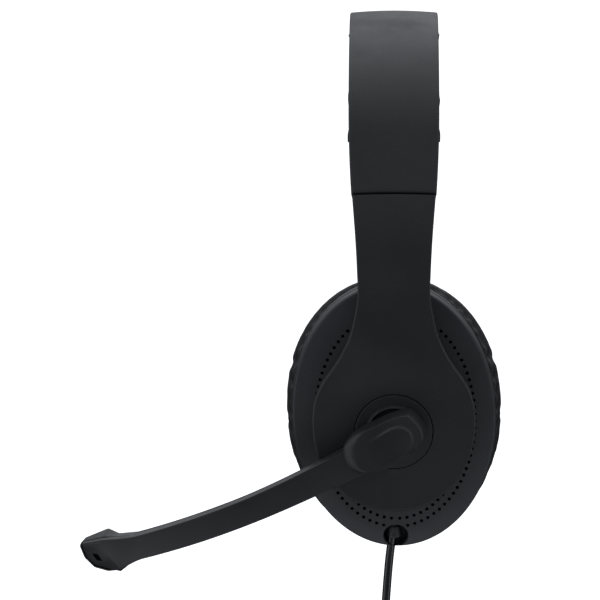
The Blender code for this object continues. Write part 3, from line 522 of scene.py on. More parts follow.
# ------------------------------------------------------------------ kinds of material
def moulded_plastic(name, colour, rough, grain=3600.0, strength=0.35, edge_polish_and_highlight=0.35):
    """Spark-eroded moulded plastic: fine pits, slow tone drift, polished edges with a painted
    highlight.
    """
    material, shader, surface = new_material(name)
    light = tint(colour, gain=1.9, lift=0.012)
    drift = shader.patches(scale=26.0)
    speck = shader.remap(shader.noise(scale=grain * 0.8, detail=2.0), source=(0.30, 0.72))
    base = shader.mix(drift, tint(colour, gain=0.80), tint(colour, gain=1.12))
    base = shader.mix(shader.times(speck, 0.30), base, light)
    # Convex edges, in noise patches, get a lighter colour (a painted edge highlight) and a lower
    # roughness (polish).
    edges = shader.remap(shader.node("NewGeometry").outputs["Pointiness"], source=(0.515, 0.60))
    polish_and_highlight_patches = shader.remap(shader.noise(scale=190.0, detail=5.0),
                          source=(0.38, 0.68), target=(0.0, edge_polish_and_highlight))
    polish_and_edge_highlight = shader.times(edges, polish_and_highlight_patches)
    handled = shader.remap(shader.noise(scale=48.0, detail=5.0, rough=0.6),
                           source=(0.38, 0.66), target=(rough - 0.07, rough + 0.08))
    pits = shader.bump(shader.noise(scale=grain, detail=3.0, rough=0.6),
                       distance=0.000020, strength=strength)
    surface({
        "Base Color": shader.mix(polish_and_edge_highlight, base, light),
        "Roughness": shader.math("SUBTRACT", handled, shader.times(polish_and_edge_highlight, 0.10)),
        "Normal": shader.bump(shader.noise(scale=130.0, detail=2.0),
                              distance=0.00003, strength=0.10, normal=pits),
        "Specular IOR Level": 0.5})
    return material


def leatherette(name, colour, rough=0.50):
    """Coated fabric: pebbled cells with creases between, finer pores on top."""
    material, shader, surface = new_material(name)
    warp = shader.node("VectorMath", operation="MULTIPLY_ADD")
    shader.feed(warp.inputs, {0: shader.noise(scale=420.0, detail=2.0, out="Color"),
                              1: (0.0007, 0.0007, 0.0007),      # metres of shift
                              2: shader.at})
    cells = shader.node("TexVoronoi", feature="DISTANCE_TO_EDGE")
    shader.feed(cells.inputs, {"Scale": 820.0, "Vector": warp.outputs[0]})
    pebble = shader.remap(cells.outputs["Distance"], source=(0.0, 0.28))
    pores = shader.noise(scale=3000.0)
    base = shader.mix(shader.patches(scale=34.0), tint(colour, gain=0.75), tint(colour, gain=1.2))
    shine = shader.patches(scale=90.0, low=rough - 0.07, high=rough + 0.09)
    pebbles = shader.bump(pebble, distance=0.00010, strength=0.55)
    surface({
        "Base Color": shader.mix(pebble, tint(colour, gain=0.45), base),
        "Roughness": shader.math("SUBTRACT", shine, shader.times(pebble, 0.06)),
        "Normal": shader.bump(pores, distance=0.00003, strength=0.30, normal=pebbles),
        "Specular IOR Level": 0.45,
        "Sheen Weight": 0.10,
        "Sheen Roughness": 0.45})
    return material


def weave(name, colour, scale):
    """Plain woven cloth from crossed thread patterns."""
    material, shader, surface = new_material(name)
    mapping = shader.node("Mapping")
    shader.feed(mapping.inputs, {"Rotation": (0.0, 0.0, radians(45)), "Vector": shader.at})
    threads = []
    for axis in ("X", "Y", "Z"):
        wave = shader.node("TexWave", wave_type="BANDS", bands_direction=axis)
        shader.feed(wave.inputs, {"Scale": scale, "Distortion": 0.6, "Detail Scale": 2.0,
                                  "Vector": mapping.outputs[0]})
        threads.append(wave.outputs["Fac"])
    height = shader.times(shader.math("ADD", threads[0], threads[1]), threads[2])
    height = shader.times(height, 0.7)
    surface({
        "Base Color": shader.mix(height, tint(colour, gain=0.35), tint(colour, gain=1.7)),
        "Roughness": 0.92,
        "Sheen Weight": 0.35,
        "Normal": shader.bump(height, distance=0.00016, strength=0.8)})
    return material


def rubber(name, colour, rough=0.66, specular=0.4):
    """Smooth rubber with a thin layer of dust."""
    material, shader, surface = new_material(name)
    dust = shader.remap(shader.noise(scale=140.0, detail=6.0, rough=0.7),
                        source=(0.42, 0.75), target=(0.0, 0.35))
    surface({
        "Base Color": shader.mix(dust, colour, tint(colour, gain=2.2, lift=0.01)),
        "Roughness": shader.patches(scale=60.0, low=rough - 0.08, high=rough + 0.08),
        "Normal": shader.bump(shader.noise(scale=1800.0), distance=0.00003, strength=0.35),
        "Specular IOR Level": specular})
    return material


def metal(name, colour, rough=0.28):
    """Metal with fine lines, squeezed along z."""
    material, shader, surface = new_material(name)
    mapping = shader.node("Mapping")
    shader.feed(mapping.inputs, {"Scale": (1.0, 1.0, 14.0), "Vector": shader.at})
    lines = shader.noise(scale=900.0, vector=mapping.outputs[0])
    shares = shader.remap(lines, source=(0.3, 0.7))
    surface({
        "Base Color": shader.mix(shares, tint(colour, gain=0.82), colour),
        "Roughness": shader.remap(lines, source=(0.3, 0.7), target=(rough - 0.06, rough + 0.10)),
        "Normal": shader.bump(lines, distance=0.00001, strength=0.25),
        "Metallic": 1.0})
    return material


# ------------------------------------------------------------------ materials
satin_plastic = partial(moulded_plastic, grain=3000.0, strength=0.28)

MATTE = moulded_plastic("matte_shell_plastic", colour=(0.0205, 0.0212, 0.0232), rough=0.50)
SATIN = satin_plastic("satin_shell_plastic", colour=(0.0245, 0.0256, 0.0280), rough=0.42)
# A darker copy of the shell plastic for the pivot disc and cap: painted shade standing in for the
# shadow that falls on the disc.
SHADE_DARKENED_DISC_PLASTIC = satin_plastic("disc_plastic", colour=(0.0150, 0.0156, 0.0172), rough=0.52)
CUP_SATIN = satin_plastic("cup_shell_plastic", colour=(0.0350, 0.0372, 0.0415), rough=0.44)
FINE = moulded_plastic("boom_plastic", colour=(0.0200, 0.0207, 0.0228), rough=0.44,
                       grain=4200.0, strength=0.26)
LEATHER = leatherette("ear_leatherette", colour=(0.0150, 0.0150, 0.0162))
PAD_LEATHER = leatherette("band_leatherette", colour=(0.0160, 0.0160, 0.0172), rough=0.54)
CLOTH = weave("speaker_cloth", colour=(0.0200, 0.0200, 0.0215), scale=420.0)
FELT = weave("vent_felt_cloth", colour=(0.0060, 0.0060, 0.0065), scale=700.0)
RUBBER = rubber("moulded_rubber", colour=(0.0120, 0.0120, 0.0130))
# The boot rubber is several times lighter than the other rubbers: painted light standing in for
# the light on the strain relief.
BOOT = rubber("boot_rubber_painted_light", colour=(0.050, 0.051, 0.055), rough=0.38)
JACKET = rubber("cable_jacket", colour=(0.0110, 0.0112, 0.0124), rough=0.24, specular=0.9)
STEEL = metal("rolled_steel", colour=(0.56, 0.57, 0.58))
DARK_STEEL = metal("blackened_screw", colour=(0.16, 0.16, 0.17), rough=0.36)
NICKEL = metal("nickel_plate", colour=(0.70, 0.67, 0.62), rough=0.22)
GOLD = metal("gold_contact", colour=(0.78, 0.56, 0.24), rough=0.22)
ACETAL = moulded_plastic("natural_acetal", colour=(0.55, 0.55, 0.53), rough=0.45,
                         strength=0.15, edge_polish_and_highlight=0.0)
FILM = moulded_plastic("amber_film", colour=(0.45, 0.38, 0.22), rough=0.30,
                       strength=0.08, edge_polish_and_highlight=0.0)
COPPER = metal("copper_lead", colour=(0.70, 0.32, 0.16), rough=0.32)
TONGUE = moulded_plastic("plug_tongue", colour=(0.045, 0.045, 0.050), rough=0.5)

SLOT_OF = {material.name: slot for slot, materials in (
    ("matte_shell", (MATTE, SHADE_DARKENED_DISC_PLASTIC, FINE, TONGUE)),
    ("satin_shell", (SATIN, CUP_SATIN)),
    ("leatherette", (LEATHER, PAD_LEATHER)),
    ("cloth", (CLOTH,)),
    ("soft_rubber", (BOOT,)),
    ("cable_jacket", (JACKET,)),
    ("steel", (STEEL, DARK_STEEL)),
    ("nickel", (NICKEL, GOLD)),
) for material in materials}


# ------------------------------------------------------------------ headband
def band_half(run):
    f = min(max((abs(run) - 86.0) / (SEAM_RUN - 86.0), 0.0), 1.0)
    return BAND_HALF - (BAND_HALF - BAND_END_HALF) * f * f


def shell_section(half, ease):
    """Closed (y, depth) section: crowned face, rounded shoulders, skirts, hollow inside."""
    eased = half - ease
    radius = 0.75
    right = []
    for i in range(8):
        f = i / 7.0
        right.append(((eased - radius) * f, -0.35 * (1 - f * f) + 0.36 * f * f + ease))
    right += arc(eased - radius, 0.36 + ease + radius, radius, -84, 0, 5)
    right += [(eased, 3.2), (eased, 4.35), (eased - 0.25, 4.62), (eased - 0.55, 4.7),
              (half - 1.35, 4.7), (half - 1.6, 4.5), (half - 1.6, 2.6), (half - 2.2, 2.05),
              (half * 0.5, 2.0), (0.0, 2.0)]
    return right + [(-y, depth) for y, depth in reversed(right[1:-1])]


def shell_shape():
    ends = ((0.0, 0.45), (0.12, 0.22), (0.35, 0.06), (0.8, 0.0))   # from the seam, easing
    marks = [(-SEAM_RUN + gap, ease) for gap, ease in ends]
    marks += [(run, 0.0) for run in np.linspace(-SEAM_RUN, SEAM_RUN, 121)
              if abs(run) < SEAM_RUN - 1.2]
    marks += [(SEAM_RUN - gap, ease) for gap, ease in reversed(ends)]
    rings = []
    for run, ease in marks:
        half = band_half(run)
        near = float(smoothstep(abs(run), SEAM_RUN - 14.0, SEAM_RUN))
        ring = []
        for y, depth in shell_section(half, ease):
            lift = SEAM_BOW * (1 - (y / half) ** 2) * near
            ring.append(band(LEFT, run - copysign(lift, run), y, depth))
        rings.append(ring)
    return loft(rings)


def liner_shape():
    half, top, bottom, radius = 15.6, 5.0, 6.5, 0.5
    section = mirrored(arc(half - radius, top + radius, radius, -90, 0, 3)
                       + arc(half - radius, bottom - radius, radius, 0, 90, 3))
    return loft([[band(LEFT, run, y, depth) for y, depth in section]
                 for run in np.linspace(-99.7, 99.7, 101)])


piece("band_shell", shell_shape(), SATIN, "headband", "headband_shell", sharp=40)
piece("band_liner", liner_shape(), MATTE, "headband", "headband_liner", sharp=50)


# ------------------------------------------------------------------ padded grids
# A grid is (rows, columns, 3) in millimetres. Its columns close on themselves; its rows
# close when wrap is true.
SIM_SCALE = 10.0        # the cloth is simulated at ten times its size
SIM_FRAMES = 20


def cloth_inflate(name, grid, wrap, pinned, pressure, cap, slack, stiff):
    """Inflates a grid with Blender's cloth; no point moves further than cap."""
    rows, cols = grid.shape[:2]
    obj = object_of(name, bmesh_of(loft(grid * 0.001 * SIM_SCALE, wrap)))
    group = obj.vertex_groups.new(name="hold")
    flat = pinned.reshape(-1)
    for weight in sorted(set(np.round(flat, 3))):
        if weight > 0:
            held = np.nonzero(np.isclose(flat, weight, atol=6e-4))[0]
            group.add([int(i) for i in held], float(weight), "REPLACE")
    cloth = obj.modifiers.new("cloth", "CLOTH")
    settings = cloth.settings
    settings.quality = 7
    settings.mass = 0.18
    settings.tension_stiffness = stiff
    settings.compression_stiffness = stiff
    settings.shear_stiffness = stiff * 0.5
    settings.bending_stiffness = 0.6
    settings.use_pressure = True
    settings.uniform_pressure_force = pressure
    settings.shrink_min = slack
    settings.vertex_group_mass = "hold"
    settings.pin_stiffness = 4.0
    settings.effector_weights.gravity = 0.0
    cloth.collision_settings.use_collision = False
    cloth.point_cache.frame_start = 1
    cloth.point_cache.frame_end = SIM_FRAMES
    scene = bpy.context.scene
    for i in range(1, SIM_FRAMES + 1):
        scene.frame_set(i)
    graph = bpy.context.evaluated_depsgraph_get()
    result = obj.evaluated_get(graph).to_mesh()
    points = np.zeros(len(result.vertices) * 3, np.float32)
    result.vertices.foreach_get("co", points)
    points = points.reshape(rows, cols, 3).astype(float) * 1000.0 / SIM_SCALE
    bpy.data.objects.remove(obj, do_unlink=True)
    scene.frame_set(1)
    move = points - grid
    size = np.linalg.norm(move, axis=-1, keepdims=True)
    move *= np.minimum(1.0, cap / np.maximum(size, 1e-9))
    if not np.isfinite(move).all():
        move[:] = 0.0
    return grid + move


def refine_rows(values, factor, wrap):
    count = values.shape[0]
    out = []
    for i in range(count if wrap else count - 1):
        near = [values[(i + k) % count if wrap else min(max(i + k, 0), count - 1)]
                for k in (-1, 0, 1, 2)]
        out += [catmull(near, j / factor) for j in range(factor)]
    if not wrap:
        out.append(values[-1])
    return np.array(out)


def refine(grid, row_factor, col_factor, wrap):
    grid = refine_rows(grid, row_factor, wrap)
    return np.swapaxes(refine_rows(np.swapaxes(grid, 0, 1), col_factor, True), 0, 1)


def grid_normals(grid, wrap):
    along = np.roll(grid, -1, 0) - np.roll(grid, 1, 0)
    if not wrap:
        along[0], along[-1] = grid[1] - grid[0], grid[-1] - grid[-2]
    across = np.roll(grid, -1, 1) - np.roll(grid, 1, 1)
    normals = np.cross(along, across)
    normals /= np.maximum(np.linalg.norm(normals, axis=-1, keepdims=True), 1e-9)
    centre = grid.mean(axis=1, keepdims=True)
    return -normals if ((grid - centre) * normals).sum() < 0 else normals


def creases(rows, cols, seeds, reach, spread, wrap, strength):
    """Small folds that start at a seam and fade into the pad.

    Each seed is the seam's column, the number of folds and their width in rows.
    """
    field = np.zeros((rows, cols))
    row = np.arange(rows)[:, None]
    col = np.arange(cols)[None, :]
    for seam, count, width in seeds:
        starts = np.linspace(0, rows, count, endpoint=False)
        starts = starts + RNG.uniform(-0.35, 0.35, count) * rows / count
        for start in starts:
            depth = RNG.uniform(0.35, 1.0)
            length = reach * RNG.uniform(0.5, 1.2)
            lean = RNG.uniform(-spread, spread)
            across = (col - seam + cols / 2) % cols - cols / 2
            along = row - start - lean * across
            if wrap:
                along = (along + rows / 2) % rows - rows / 2
            fold_width = width * RNG.uniform(0.7, 1.5)
            field += -depth * np.exp(-(along / fold_width) ** 2) * np.exp(-(across / length) ** 2)
    return field * strength


def groove(col, centre, width):
    return np.exp(-((col - centre) / width) ** 2)


# ------------------------------------------------------------------ head pad
PAD_END = 97.6
PAD_TOP, PAD_BOTTOM, PAD_END_THICK = 6.9, 14.0, 2.2     # depths, and thickness at the ends


def pad_section(run):
    end = min(max((PAD_END - abs(run)) / 22.0, 0.0), 1.0)
    swell = (PAD_BOTTOM - PAD_TOP - PAD_END_THICK) * sin(0.5 * pi * end)
    deep = PAD_TOP + PAD_END_THICK + swell - 0.5
    half = 17.85 - 0.45 * (1.0 - end) - 0.006 * max(abs(run) - 40.0, 0.0) - 0.15
    radius = min(1.9, 0.5 * (deep - PAD_TOP) - 0.05)
    side, low_side = half - radius, half - radius - 0.4
    top = [(side - side * 2 * i / 9.0, PAD_TOP) for i in range(10)]
    bottom = [(-half + radius + 0.4 + low_side * 2 * i / 7.0, deep + 0.3 * sin(pi * i / 7.0))
              for i in range(1, 7)]
    return (top + arc(-side, PAD_TOP + radius, radius, 270, 180, 3)[1:]
            + arc(-low_side, deep - radius, radius, 180, 90, 3) + bottom
            + arc(low_side, deep - radius, radius, 90, 0, 3)
            + arc(side, PAD_TOP + radius, radius, 0, -90, 3)[:-1])


def pad_shape():
    grid = np.array([[band(LEFT, run, y, depth) for y, depth in pad_section(run)]
                     for run in np.linspace(-PAD_END + 0.2, PAD_END - 0.2, 67)])
    pinned = np.zeros(grid.shape[:2])
    pinned[:, :10] = 1.0                      # glued to the liner
    pinned[0], pinned[-1] = 1.0, 1.0          # tucked in at the ends
    pinned[1], pinned[-2] = np.maximum(pinned[1], 0.5), np.maximum(pinned[-2], 0.5)
    grid = cloth_inflate("sim_pad", grid, False, pinned, pressure=3.0, cap=1.6,
                         slack=-0.03, stiff=12.0)
    grid = refine(grid, 4, 3, False)
    rows, cols = grid.shape[:2]
    fold = creases(rows, cols, ((38.0, 46, 1.6), (73.0, 46, 1.6)),
                   reach=5.0, spread=0.25, wrap=False, strength=0.16)
    place = np.linspace(-1, 1, rows)[:, None]
    col = np.arange(cols)[None, :]
    seam = -0.55 * (groove(col, 37.0, 0.9) + groove(col, 76.0, 0.9))
    belly = 0.10 * np.sin(place * 40.0 + 1.3 * np.sin(place * 9.0)) * groove(col, 57.0, 12.0)
    fade = np.clip((1 - np.abs(place)) / 0.03, 0, 1)
    return loft(grid + grid_normals(grid, False) * ((fold + seam + belly) * fade)[..., None])


piece("band_pad", pad_shape(), PAD_LEATHER, "headband", "headband_cushion", sharp=70)

# ------------------------------------------------------------------ arm outline
# height above the disc's centre, half width
ARM_POINTS = ((3.5, 29.8), (9.0, 29.4), (14.7, 27.8), (19.2, 25.5), (24.0, 22.2),
              (30.0, 18.7), (36.6, 15.9), (43.3, 14.35), (51.0, 13.2), (60.0, 13.4),
              (70.0, 13.9), (80.0, 14.6), (89.2, 15.3))
SPADE_DROP, SPADE_POWER = 34.6, 2.08       # the arm's round foot below its widest point
ARM_TOP = SEAM_RUN + 0.5


def arm_outline(rows_up=58, rows_down=26):
    """(run, half width) from the seam down to the foot."""
    top, (widest, half) = ARM_POINTS[-1][0], ARM_POINTS[0]
    points = []
    for i in range(rows_up):
        height = top + (widest - top) * i / rows_up
        points.append((DISC_RUN - height, curve_at(ARM_POINTS, height)))
    for i in range(rows_down + 1):
        angle = 0.5 * pi * i / rows_down
        height = widest - SPADE_DROP * sin(angle) ** (2 / SPADE_POWER)
        points.append((DISC_RUN - height, half * max(cos(angle), 0.0) ** (2 / SPADE_POWER)))
    points[0] = (ARM_TOP, points[0][1])
    points[-1] = (points[-1][0], 0.0)
    return points


def inset_outline(points, inset):
    moved = [(points[0][0] + inset, points[0][1] - inset)]
    for before, (run, half), after in zip(points, points[1:], points[2:]):
        d_run, d_half = after[0] - before[0], after[1] - before[1]
        size = hypot(d_run, d_half)
        moved.append((run + inset * d_half / size, half - inset * d_run / size))
    return moved + [(points[-1][0] - inset, 0.0)]


def arm_crown(run):
    """The arm's face is slightly crowned at the neck and flat on the spade."""
    return 0.30 * float(1.0 - smoothstep(run, DISC_RUN - 60.0, DISC_RUN - 34.0))


def slab(place, outline, layers, crown=lambda run: 0.0, columns=22):
    """Plate over an outline from (inset, depth) layers; crown lifts the first face."""
    last = len(outline) - 1
    fractions = [sin(0.5 * pi * (-1 + 2 * j / columns)) for j in range(columns + 1)]
    verts, faces = [], []

    def add(row, j, depth, share):
        """Adds a point and returns its number; share is how much of the crown it takes."""
        run, half = row
        f = fractions[j]
        lift = crown(run) * (1 - f * f) * share
        verts.append(place(run, half * f, depth - lift))
        return len(verts) - 1

    def grid(inset, depth, share):
        rows = inset_outline(outline, inset)
        index = [[add(row, j, depth, share) for j in range(columns + 1)] for row in rows[:-1]]
        tip = len(verts)
        verts.append(place(rows[last][0], 0.0, depth - crown(rows[last][0]) * share))
        index.append([tip] * (columns + 1))
        for i in range(last):
            for j in range(columns):
                face = (index[i][j], index[i][j + 1], index[i + 1][j + 1], index[i + 1][j])
                faces.append(face if i < last - 1 else face[:3])
        return index

    edge = [(i, 0) for i in range(last + 1)]
    edge += [(i, columns) for i in range(last - 1, -1, -1)]
    edge += [(0, j) for j in range(columns - 1, 0, -1)]
    first = grid(*layers[0], 1.0)
    loops = [[first[i][j] for i, j in edge]]
    for inset, depth in layers[1:-1]:
        rows = inset_outline(outline, inset)
        loops.append([add(rows[i], j, depth, max(0.0, 1 - depth)) for i, j in edge])
    end = grid(*layers[-1], 0.0)
    loops.append([end[i][j] for i, j in edge])
    for one, two in zip(loops, loops[1:]):
        faces += quads(one, two)
    return verts, faces


ARM_OUTLINE = arm_outline()


# ------------------------------------------------------------------ screws
def screw_recess(place, bottom):
    return lathe(place, ((0, bottom), (2.15, bottom), (2.15, -0.25), (2.45, 0.1), (2.45, 1),
                         (0, 1)), 32)


def make_screw(name, place, bottom, body, node):
    """A round head with a cross slot, on a shank that goes in to bottom."""
    profile = rounded_profile([(0.0, -0.45), (1.15, -0.45), (1.85, -0.75), (1.85, -1.5),
                               (0.85, -1.6), (0.85, bottom), (0.0, bottom)], 0.18, 3)
    screw = piece(name, lathe(place, profile, 32), DARK_STEEL, body, node)
    long, thin = 1.15, 0.22
    boolean(screw, [block(place, -half_x, half_x, -half_y, half_y, -1.15, 0.5)
                    for half_x, half_y in ((long, thin), (thin, long))])


# ------------------------------------------------------------------ arms
def arm_place(side):
    """Band coordinates whose first rows bow up to follow the seam."""
    def place(run, y, depth):
        near = float(1.0 - smoothstep(run, ARM_TOP, ARM_TOP + 14.0))
        lift = SEAM_BOW * (1 - min((y / ARM_POINTS[-1][1]) ** 2, 1.0)) * near
        return band(side, run - lift, y, depth)
    return place


def make_arm_shell(side, tag):
    """Outer half, with a round hole for the disc and a slot for the slider."""
    layers = ((0.9, -0.03), (0.48, -0.01), (0.40, 0.02), (0.07, 0.25), (0.02, 0.32), (0.0, 0.45),
              (0.0, 3.75), (0.10, 3.98), (0.3, 4.05), (1.5, 4.05), (1.5, 2.0))
    shell = piece(tag + "_arm_shell", slab(arm_place(side), ARM_OUTLINE, layers, arm_crown),
                  MATTE, tag + "_arm", tag + "_arm_outer", sharp=30)
    tight, wide = DISC_R + 0.28, DISC_R + 0.55
    disc_hole = lathe(partial(cup, side), ((0, -3), (tight, -3), (tight, -0.12), (wide, 0.2),
                                           (wide, 2), (0, 2)), 96)
    slot = block(shifted(partial(band, side), SEAM_RUN, 0, 0), -2.5, 4.0, -6.4, 6.4, 4.5, 2.8)
    boolean(shell, [disc_hole, slot], sharp=30)


LUG_AXIS = -10.2      # how far out the bore through the two lugs lies


def lug(side, sign):
    rings = []
    for out in (-5.0, LUG_AXIS, -11.0, -11.5, -11.7):
        half = 2.6
        if out <= -10.3:
            half = 2.6 * sqrt(max(0.05, 1 - ((-out + LUG_AXIS) / 1.55) ** 2)) * 0.5 + 1.3
        corners = ((7.3, -half), (9.1, -half), (9.1, half), (7.3, half))
        rings.append([cup(side, sign * y, up, out) for y, up in corners])
    return loft(rings)


def make_arm_cover(side, tag):
    """Inner half with a round boss and two lugs, and its screw."""
    body = tag + "_arm"
    at_cup = partial(cup, side)
    layers = ((1.2, 5.9), (0.75, 5.86), (0.35, 5.66), (0.1, 5.35), (0.0, 5.0), (0.0, 4.55),
              (0.15, 4.35), (0.9, 4.35))
    cover = piece(tag + "_arm_cover",
                  slab(arm_place(side), inset_outline(ARM_OUTLINE, 0.25), layers),
                  MATTE, body, tag + "_arm_inner", sharp=30)
    boss = lathe(at_cup, ((0, -5.0), (12.5, -5.0), (12.5, -3.3), (0, -3.3)), 48)
    boolean(cover, [boss, lug(side, -1), lug(side, 1)], "UNION", sharp=30)

    def along_y(up, out, y):
        return cup(side, y, up, LUG_AXIS + out)

    at_screw = shifted(partial(band, side), DISC_RUN - 62.0, 0.0, 5.9)
    boolean(cover, [lathe(at_cup, ((0, -7), (5.8, -7), (5.8, -2), (0, -2)), 40),
                    lathe(along_y, ((0, -14), (1.35, -14), (1.35, 14), (0, 14)), 24),
                    screw_recess(at_screw, -3)], sharp=30)
    make_screw(tag + "_arm_screw_head", at_screw, -3.4, body, tag + "_arm_screw")


def make_slider(side, tag):
    """Slider strip with detent notches along both edges."""
    half, top, bottom, bevel = 6.0, 3.2, 4.0, 0.18
    section = [(-half + bevel, top), (half - bevel, top), (half, top + bevel),
               (half, bottom - bevel), (half - bevel, bottom), (-half + bevel, bottom),
               (-half, bottom - bevel), (-half, top + bevel)]
    marks = [(-34.0, 0.9), (-33.6, 1.0)] + [(-33 + 1.1 * i, 1.0) for i in range(47)]
    rings = [[strip_point(side, SEAM_RUN + mark, y * width, depth) for y, depth in section]
             for mark, width in marks]
    strip = piece(tag + "_slider", loft(rings), STEEL, tag + "_arm", tag + "_slider_strip")

    def at_strip(back, y, height):
        return strip_point(side, SEAM_RUN - 0.001 - back, y, 3.6 - height)

    first, pitch, edge, radius = 4.0, 2.9, 6.3, 0.85
    profile = ((0, -1), (radius, -1), (radius, 1), (0, 1))
    boolean(strip, [merged(lathe(shifted(at_strip, first + pitch * i, y, 0), profile, 16)
                           for i in range(9) for y in (edge, -edge))])


def make_end_cover(side, tag):
    """Cover inside each end of the headband, and its screw."""
    start = 100.2
    # run, easing of the edges
    marks = ((start, 0.5), (100.35, 0.2), (100.8, 0.0), (104.0, 0.0), (108.0, 0.0),
             (112.0, 0.0), (SEAM_RUN - 0.9, 0.0), (SEAM_RUN - 0.4, 0.2), (SEAM_RUN - 0.2, 0.5))
    rings = []
    for run, ease in marks:
        half = 15.6 - 0.5 * (run - start) / (SEAM_RUN - 100.4) - ease
        deep = 7.2 - ease
        section = mirrored([(half - 0.3, 5.0), (half, 5.25), (half, 6.2 - ease * 0.5)]
                           + arc(half - 1.0, deep - 1.0, 1.0, 0, 90, 5))
        rings.append([band(side, run, y, depth) for y, depth in section])
    cover = piece(tag + "_end_cover", loft(rings), MATTE, "headband", tag + "_band_end_cover",
                  sharp=35)
    at_screw = shifted(partial(band, side), 106.0, -10.4, 7.2)
    boolean(cover, [screw_recess(at_screw, -4)], sharp=35)
    make_screw(tag + "_end_screw", at_screw, -4.4, "headband", tag + "_band_end_screw")


for side, tag in ((LEFT, "left"), (RIGHT, "right")):
    make_arm_shell(side, tag)
    make_arm_cover(side, tag)
    make_slider(side, tag)
    make_end_cover(side, tag)

# ------------------------------------------------------------------ pivot disc and cap
# (radius, out); the left disc is bored through, the right cap is solid
SPINDLE = [(4.8, -7.5), (5.5, -7.3), (5.5, -6.85), (4.8, -6.8), (4.8, -6.05), (5.5, -6.0)]
DISC_EDGE = [(5.5, -2.0), (DISC_R, -2.0), (DISC_R, 0.30), (DISC_R - 0.22, 0.45), (10.35, 0.62)]
DISC_FACE = rounded_profile(DISC_EDGE + [(10.1, 1.7), (9.85, 1.95), (9.45, 1.95), (9.2, 1.7),
                                         (9.0, 0.9), (2.4, 0.85), (2.2, -7.5)], 0.16)
CAP_FACE = rounded_profile(DISC_EDGE + [(10.1, 1.6), (9.85, 1.85), (9.45, 1.85), (9.1, 1.55),
                                        (8.8, 1.35), (5.0, 1.75), (0.0, 1.95)], 0.2)
piece("pivot_disc", lathe(at_left, SPINDLE + DISC_FACE, 128, closed=True),
      SHADE_DARKENED_DISC_PLASTIC, "boom", "boom_disc", sharp=38)
piece("pivot_cap", lathe(at_right, [(0.0, -7.5)] + SPINDLE + CAP_FACE, 128),
      SHADE_DARKENED_DISC_PLASTIC, "right_arm", "right_disc_cap", sharp=38)

# ------------------------------------------------------------------ boom arm
# distance along the boom, height of its upper and lower edge
BOOM_TOP = ((12.0, 4.5), (25.0, 4.25), (40.0, 3.95), (60.0, 3.55), (80.0, 3.4), (106.0, 3.15))
BOOM_FOOT = ((12.0, -7.0), (25.0, -6.7), (40.0, -6.35), (60.0, -6.25), (80.0, -6.25),
             (106.0, -6.2))


def boom_section(along):
    """Outer shell: flat face, deep top side with a small draft, crisp small edges."""
    top, foot = curve_at(BOOM_TOP, along), curve_at(BOOM_FOOT, along)
    corners = ((foot + 0.2, 4.6), (foot, 0.0), (top, 0.0), (top - 0.3, 4.6), (top - 1.7, 4.6),
               (top - 1.5, 1.8), (foot + 1.5, 1.8), (foot + 1.6, 4.6))
    return round_polygon(corners, [0.3, 0.4, 0.45, 0.3, 0.3, 0.6, 0.6, 0.3], 4)


def boom_back_section(along):
    top, foot = curve_at(BOOM_TOP, along) - 0.35, curve_at(BOOM_FOOT, along) + 0.25
    corners = ((foot, 4.9), (top, 4.9), (top, 6.0), (foot, 6.0))
    return round_polygon(corners, [0.2, 0.2, 0.7, 0.7], 4)


def boom_loft(section, start, end, steps):
    return loft([[boom(along, up, depth) for up, depth in section(along)]
                 for along in np.linspace(start, end, steps + 1)])


# ------------------------------------------------------------------ boom root block
# (y, up) outlines of the block's top and foot
ROOT_TOP = ((10.7, -0.8), (10.4, 1.8), (9.5, 4.0), (7.1, 6.9), (4.6, 9.1), (2.2, 8.7),
            (-1.0, 7.8), (-5.9, 5.4), (-10.8, 3.0), (-13.1, 0.5), (-14.6, -3.7), (-14.7, -6.9),
            (-13.8, -9.8), (-12.0, -12.5), (-9.6, -12.9), (-6.6, -12.7), (-2.3, -11.6),
            (1.6, -8.3), (5.5, -5.3), (8.6, -2.7))
ROOT_FOOT = ((11.9, -0.6), (12.2, 2.1), (10.9, 5.0), (8.6, 7.9), (6.2, 10.2), (2.2, 9.4),
             (-1.3, 8.35), (-6.4, 5.8), (-11.5, 3.3), (-15.2, 0.6), (-18.3, -3.6), (-18.6, -7.2),
             (-17.7, -10.4), (-15.6, -13.1), (-12.0, -14.0), (-7.0, -13.2), (-2.5, -12.0),
             (1.8, -8.65), (5.8, -5.6), (9.0, -3.0))
ROOT_CENTRE = (-3.6, -2.2)
ROOT_STEPS = 180
ROOT_LOW, ROOT_HIGH = 2.5, 8.5      # how far out the block starts and ends
# share of the way in from foot to top outline, share of the way up (None: at ROOT_LOW)
ROOT_LAYERS = ((0.0, None), (0.0, 0.0), (0.03, 0.06), (0.35, 0.50), (0.80, 0.88), (0.90, 0.93),
               (1.0, 0.955))


def points_inside(polygon, spacing):
    """Square grid of points inside a polygon."""
    corners = np.array(polygon)
    low, high = corners.min(0), corners.max(0)
    xs, ys = np.meshgrid(np.arange(low[0], high[0], spacing), np.arange(low[1], high[1], spacing))
    xs, ys = xs.ravel(), ys.ravel()
    inside = np.zeros(len(xs), bool)
    for (x1, y1), (x2, y2) in zip(corners, np.roll(corners, -1, 0)):
        if y1 != y2:
            inside ^= ((y1 > ys) != (y2 > ys)) & (xs < (x2 - x1) * (ys - y1) / (y2 - y1) + x1)
    return [Vector((float(x), float(y))) for x, y in zip(xs[inside], ys[inside])]


def scoop_depth(flat):
    """A shallow scoop in the top that fades out along the boom."""
    way = np.array((-0.84, -0.54))
    way /= np.linalg.norm(way)
    offset = flat - np.array((0.7, -0.9))
    along = offset @ way
    across = offset @ np.array((-way[1], way[0]))
    reach = np.where(along > 0, np.abs(across) / 5.35, np.hypot(along / 6.4, across / 5.35))
    return 0.45 * (1 - smoothstep(reach, 0.88, 1.08)) * (1 - smoothstep(along, -2.0, 12.5))


